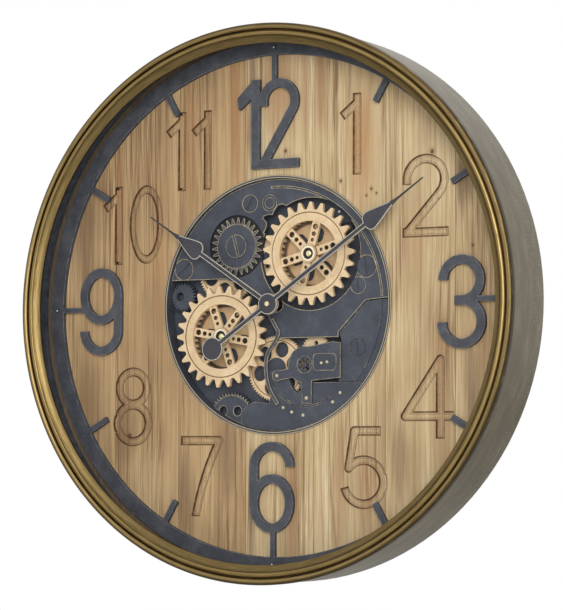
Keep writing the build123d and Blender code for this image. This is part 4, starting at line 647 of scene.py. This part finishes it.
# Scorched outlines of the routed numerals, as rows of a strip's profile; two boards have no routed numeral
routed_floor = 0.03 * MM - routed_depth
burnt_profile = [
    (0.90 * MM, 0.03 * MM, 0.0),
    (0.45 * MM, 0.03 * MM, 0.85),
    (-0.03 * MM, 0.0, 1.0),
    (-0.03 * MM, routed_floor, 1.0),
    (-0.80 * MM, routed_floor, 0.9),
    (-1.40 * MM, routed_floor, 0.1),
    (-2.00 * MM, routed_floor, 0.0),
    (-2.50 * MM, routed_floor, 0.65),
    (-3.00 * MM, routed_floor, 0.0),
]
uncut_boards = (4, 7)


def on_numeral(spots, low, high):
    """Edges of the routed numerals: inside the board, off its rim and off the hole for the dish."""
    reach = np.hypot(spots[:, 0], spots[:, 1])
    inside = (spots[:, 0] > low.x + 0.1 * MM) & (spots[:, 0] < high.x - 0.1 * MM)
    return inside & (reach < numeral_reach) & (reach > dish_radius + 1.0 * MM)


for number, (seed, pitch, tones, knots, stains) in boards.items():
    node = f"dial_board_{number}"
    material = fir_board(f"fir_board_{number}", seed, pitch, tones, knots, stains)
    dress(node, material)
    low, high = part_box(node)
    if number not in uncut_boards:
        rim_strip(f"burnt_outline_{number}", node, "case", wood_front, burnt_profile, "burn", material,
                  lambda spots: on_numeral(spots, low, high))

# Each finish with the nodes that wear it
pin_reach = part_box("ring_pins")[1].x - pin_head_radius
dressed = [
    (hardboard("backing_board"), ["dial_backing"]),
    (hardboard("back_board"), ["back_panel"]),
    (brushed_pewter("brushed_pewter"), ["case_drum"]),
    # The fixing nut and washer wear the ring's navy, dark as painted shade round the hub
    (ring_navy, ["chapter_ring", "fixing_nut", "fixing_washer"]),
    (main_navy, ["main_plate"]),
    (plate_navy, ["gear_dish", "lower_right_plate", "lower_plate", "rosette_bridge", "rosette",
                  "curved_rail", "plate_screws", "side_gear", "relief_gears", "idler_studs"]),
    (hand_navy, ["hour_hand", "minute_hand"]),
    (steel, ["back_screws", "hanger_plate", "motor_screws", "cell_contacts"]),
    (pin_heads("pin_heads", pin_reach), ["ring_pins"]),
    (pale_pins, ["plate_pins"]),
    (pale_brass, ["upper_arbor", "lower_arbor", "hand_cap"]),
    (brass_parts, ["arbor_bushes", "hour_pipe", "minute_shaft"]),
    # The threaded bush is black plastic, dark as painted shade round the hub
    (black_plastic, ["movement_case", "movement_cover", "battery_holder", "motor_pinion", "threaded_bush"]),
    (white_plastic, ["motion_wheel", "switch_slider"]),
    (red_plastic, ["setting_knob"]),
    (motor_metal, ["gear_motor"]),
    (cell_wrap, ["holder_cells", "movement_cell"]),
    (bumper_rubber, ["wall_bumpers"]),
]
for material, wearers in dressed:
    for node in wearers:
        dress(node, material)

# Gears: a turned line on the rim, painted shade in the hub recess inside a pale ring, painted shade down the
# walls of the spoke holes, and painted shade on the wheel behind, darkest on its toothed drum. The marks are
# those of Finish.marked, and foremost is a height in front of every gear.
spokes = {"upper_gear": math.radians(15.0), "lower_gear": math.radians(50.0)}
spoke_drills = [(30.0 * MM, 3.0 * MM), (22.0 * MM, 2.3 * MM), (15.3 * MM, 1.8 * MM)]
foremost = 100.0 * MM
gear_marks_and_shade = [
    (44.1 * MM, 45.3 * MM, 0.0, gear_front + 1.0 * MM, groove_brown, 0.85),
    # painted shade in the hub recess
    (0.0, 6.3 * MM, 0.0, hub_front - 0.5 * MM, shade(26, 23, 22), 1.0),
    (6.3 * MM, 8.3 * MM, hub_front - 0.4 * MM, foremost, shade(244, 232, 206), 0.8),
    (8.5 * MM, 9.1 * MM, hub_front - 0.4 * MM, foremost, shade(110, 78, 52), 0.8),
    (9.7 * MM, 10.5 * MM, 0.0, hub_front - 0.1 * MM, shade(120, 88, 60), 0.7),
]
# Painted shade on the wheel deep behind each gear: its toothed drum dark, its web dimmed
wheel_shade = [
    (33.0 * MM, 38.0 * MM, 0.0, 27.3 * MM, shade(50, 40, 36), 0.9),
    (0.0, 33.0 * MM, 0.0, 26.0 * MM, shade(186, 150, 108), 0.5),
]
idler_marks = [(30.4 * MM, 31.6 * MM, 0.0, foremost, groove_brown, 0.85)]
marked_gears = {"upper_gear": gear_marks_and_shade, "lower_gear": gear_marks_and_shade, "upper_wheel": wheel_shade,
                "lower_wheel": wheel_shade, "left_idler": idler_marks, "bottom_idler": idler_marks,
                "small_gear": [], "transfer_gear": []}
for node, marks in marked_gears.items():
    holes = (spokes[node], spoke_drills) if node in spokes else None
    dress(node, champagne_gold(f"{node}_gold", middle(node), marks, holes))

# Bezel, turned finer than the CAD: bead, groove, ridge, hollow, lip, and the spigot behind it. The profile is
# given in millimetres as (radius, height off the wall), and the band, from 0 to 1 along it, sets the painted
# light and shade.
bead = arc_through((301.5, 79.5), (298.0, 83.0), (294.5, 79.5), 25)
ridge = arc_through((293.4, 79.5), (291.3, 82.47), (288.4, 82.02), 15)
hollow = arc_through((288.4, 82.02), (284.35, 78.91), (280.3, 77.2), 19)
under = np.array([(280.3, 75.0), (282.5, 75.0), (288.4, 77.25), (294.5, 77.25), (294.5, 67.0),
                  (297.45, 67.0), (297.45, 75.0), (301.5, 75.0)])
bezel_profile = np.concatenate([bead, ridge, hollow[1:], under]) * MM
bezel_band = np.concatenate([np.linspace(0.0, 0.27, len(bead)), np.linspace(0.31, 0.52, len(ridge)),
                             np.linspace(0.52, 0.95, len(hollow))[1:], np.ones(len(under) - 1), [0.0]])
bezel_steps = 720
bezel_brass = antique_brass("antique_brass")
bezel_skin = turned_ring("bezel_skin", bezel_profile, bezel_band, bezel_steps, "case", bezel_brass)
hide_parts("bezel")

# Motor lead: a limp cord from the switch to the motor, along the floor of the dish
lead_level = -16.1 * MM
lead_start = (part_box("motor_leads")[0].x, -86.0 * MM)
lead_end = (87.98 * MM, 56.16 * MM)
route = [
    lead_start,
    (lead_start[0] + 24 * MM, lead_start[1]),
    (lead_start[0] + 42 * MM, lead_start[1] + 26 * MM),
    (lead_end[0] + 8 * MM, lead_end[1] - 74 * MM),
    (lead_end[0] + 5 * MM, lead_end[1] - 32 * MM),
    lead_end,
]
lead_curve = bpy.data.curves.new("motor_lead", "CURVE")
lead_curve.dimensions = "3D"
lead_curve.bevel_depth = 1.1 * MM
lead_curve.bevel_resolution = 6
lead_curve.use_fill_caps = True
lead_spline = lead_curve.splines.new("NURBS")
lead_spline.points.add(len(route) - 1)
lead_spline.points.foreach_set("co", [part for x, z in route for part in (x, lead_level, z, 1.0)])
lead_spline.order_u = 3
lead_spline.use_endpoint_u = True
lead_spline.resolution_u = 16
lead_curve.materials.append(sleeve)
motor_lead = placed("motor_lead", lead_curve)
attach(motor_lead, "case")
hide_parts("motor_leads")

# Rubbed edges of the painted pieces: profiles of the strips, for plates, hands and the dish
rub_profile = [
    (1.0 * MM, 0.02 * MM, 0.0),
    (0.55 * MM, 0.03 * MM, 0.85),
    (-0.03 * MM, -0.05 * MM, 1.0),
    (-0.03 * MM, -0.9 * MM, 0.35),
]
edge_profile = [
    (0.95 * MM, 0.02 * MM, 0.0),
    (0.75 * MM, 0.03 * MM, 1.0),
    (-0.03 * MM, -0.03 * MM, 1.0),
    (-0.03 * MM, -1.2 * MM, 0.8),
]
dish_profile = [
    (1.00 * MM, 0.02 * MM, 0.0),
    (0.75 * MM, 0.03 * MM, 0.9),
    (-0.03 * MM, -0.03 * MM, 1.0),
    (-0.03 * MM, -0.5 * MM, 0.0),
]
side_place = np.array(middle("side_gear"))
relief_split = -40.0 * MM


def clear_of_side_gear(spots):
    """Edges of the main plate that don't bound the pocket of the side gear."""
    return np.hypot(*(spots - side_place).T) > side_pocket_radius + 1.5 * MM


def on_low_relief(spots):
    """Edges of the relief gear at the foot of the plate, not of the one on its left."""
    return spots[:, 1] < relief_split


def faded(profile, share):
    """A profile whose strength is a share of another's."""
    return [(into, above, strength * share) for into, above, strength in profile]


# Node, height of the rubbed face, strength of the rubbing, choice of edges
rubbings = [
    ("main_plate", plate_front, 0.85, clear_of_side_gear),
    ("lower_right_plate", plate_front, 0.45, None),
    ("lower_plate", plate_front, 0.55, None),
    ("rosette_bridge", overlay_front, 0.7, None),
    ("curved_rail", overlay_front, 0.8, None),
    ("side_gear", side_front - 1.2 * MM, 0.8, None),
    ("side_gear", side_front, 0.75, None),
    ("plate_screws", -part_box("plate_screws")[0].y, 0.75, None),
    ("relief_gears", relief_front, 0.8, on_low_relief),
    ("relief_gears", relief_front, 0.3, lambda spots: ~on_low_relief(spots)),
]
rim_strip("rubbed_dish", "gear_dish", "case", dish_front, dish_profile, "rub", plate_navy)
for number, (node, level, share, chosen) in enumerate(rubbings, 1):
    material = main_navy if node == "main_plate" else plate_navy
    rim_strip(f"rubbed_edge_{number}", node, "case", level, faded(rub_profile, share), "rub", material,
              chosen)
for node, body, leaf_end in (("hour_hand", "hour", 140.0 * MM), ("minute_hand", "minute", 182.0 * MM)):
    rim_strip(f"rubbed_{node}", node, body, -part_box(node)[0].y, edge_profile, "rub", hand_navy,
              lambda spots: np.hypot(*spots.T) < leaf_end)

# Flag of the raised 1: its outline clockwise from the inner corner, as (x, drop from the numeral's top) in mm
numeral_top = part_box("chapter_ring")[1].x - ring_width - tick_length
flag_corners = np.array([(-28.2, 20.0), (-42.6, 32.0), (-44.4, 32.0), (-46.0, 19.4), (-25.9, 0.0),
                         (-21.0, 0.0), (-21.0, 20.5)]) * MM
flag_outline = flag_corners * (1, -1) + (0, numeral_top)
flag_gap = 0.02 * MM
flat_plate("numeral_flag", flag_outline, ring_front - flag_gap, wood_front + flag_gap, "case", ring_navy)
flag_left, flag_right = -47.0 * MM, -27.9 * MM
flag_foot, flag_head = numeral_top - 34.0 * MM, numeral_top - 0.2 * MM


def off_the_flag(spots):
    """Edges of the ring that don't lie along the flag of the raised 1."""
    beside = (spots[:, 0] > flag_left) & (spots[:, 0] < flag_right)
    return ~(beside & (spots[:, 1] > flag_foot) & (spots[:, 1] < flag_head))


rim_strip("worn_ring", "chapter_ring", "case", ring_front, faded(rub_profile, 0.6), "rub", ring_navy,
          off_the_flag)

# Floor
floor_half, floor_level = 2.6, -0.62
floor_corners = [(-floor_half, -floor_half, floor_level), (floor_half, -floor_half, floor_level),
                 (floor_half, floor_half, floor_level), (-floor_half, floor_half, floor_level)]
floor_mesh = bpy.data.meshes.new("floor")
floor_mesh.from_pydata(floor_corners, [], [(0, 1, 2, 3)])
floor_mesh.materials.append(Finish("pale_floor").set(Base_Color=shade(238, 238, 236), Roughness=0.9))
floor = placed("floor", floor_mesh)
floor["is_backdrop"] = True

# White sky: full strength to the camera and in reflections, less in the light that it casts
ambient = 0.40
world = bpy.data.worlds.new("studio")
bpy.context.scene.world = world
world.use_nodes = True
sky = world.node_tree
background = sky.nodes["Background"]
background.inputs["Color"].default_value = (1.0, 1.0, 1.0, 1.0)
rays = sky.nodes.new("ShaderNodeLightPath")
seen = sky.nodes.new("ShaderNodeMath")
seen.operation = "MAXIMUM"
sky.links.new(rays.outputs["Is Camera Ray"], seen.inputs[0])
sky.links.new(rays.outputs["Is Glossy Ray"], seen.inputs[1])
strength = sky.nodes.new("ShaderNodeMapRange")
strength.inputs["To Min"].default_value = ambient
strength.inputs["To Max"].default_value = 1.0
sky.links.new(seen.outputs[0], strength.inputs["Value"])
sky.links.new(strength.outputs[0], background.inputs["Strength"])


def lamp(name, place, size, power):
    """A square soft box at a place, aimed at the origin."""
    light = bpy.data.lights.new(name, "AREA")
    light.size = size
    light.energy = power
    box = placed(name, light)
    box.location = place
    box.rotation_mode = "QUATERNION"
    box.rotation_quaternion = (-Vector(place)).to_track_quat("-Z", "Y")


lamp("key", (0.5, -2.6, 1.3), 1.6, 14.0)
lamp("broad", (1.55, -2.75, 0.5), 1.8, 56.0)
lamp("overhead", (0.3, 0.2, 2.5), 1.4, 20.0)

# Camera: bearing, height and roll of the view, its distance and the clock's shift in the picture, the focal
# length and the picture's longer side in pixels, and the sensor in millimetres
view_bearing, view_height, view_roll = math.radians(29.23), math.radians(-3.43), math.radians(0.2)
view_distance, view_aside, view_above = 2882.0 * MM, -9.1 * MM, 0.6 * MM
focal_pixels, frame_pixels, sensor = 2660.0, 610.0, 36.0
back = Vector((math.sin(view_bearing) * math.cos(view_height),
               -math.cos(view_bearing) * math.cos(view_height),
               math.sin(view_height)))
level_right = Vector((math.cos(view_bearing), math.sin(view_bearing), 0))
level_up = back.cross(level_right)
right = math.cos(view_roll) * level_right + math.sin(view_roll) * level_up
up = -math.sin(view_roll) * level_right + math.cos(view_roll) * level_up
eye = back * view_distance - right * view_aside - up * view_above + Vector((0, -ring_front, 0))
camera_data = bpy.data.cameras.new("camera")
camera_data.lens = focal_pixels / frame_pixels * sensor
camera_data.sensor_width = sensor
camera_data.clip_start, camera_data.clip_end = 0.1, 50.0
camera = placed("camera", camera_data)
camera.matrix_world = Matrix((
    (right.x, up.x, back.x, eye.x),
    (right.y, up.y, back.y, eye.y),
    (right.z, up.z, back.z, eye.z),
    (0, 0, 0, 1)))
bpy.context.scene.camera = camera
bpy.context.scene.view_settings.view_transform = "Standard"

low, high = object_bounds()
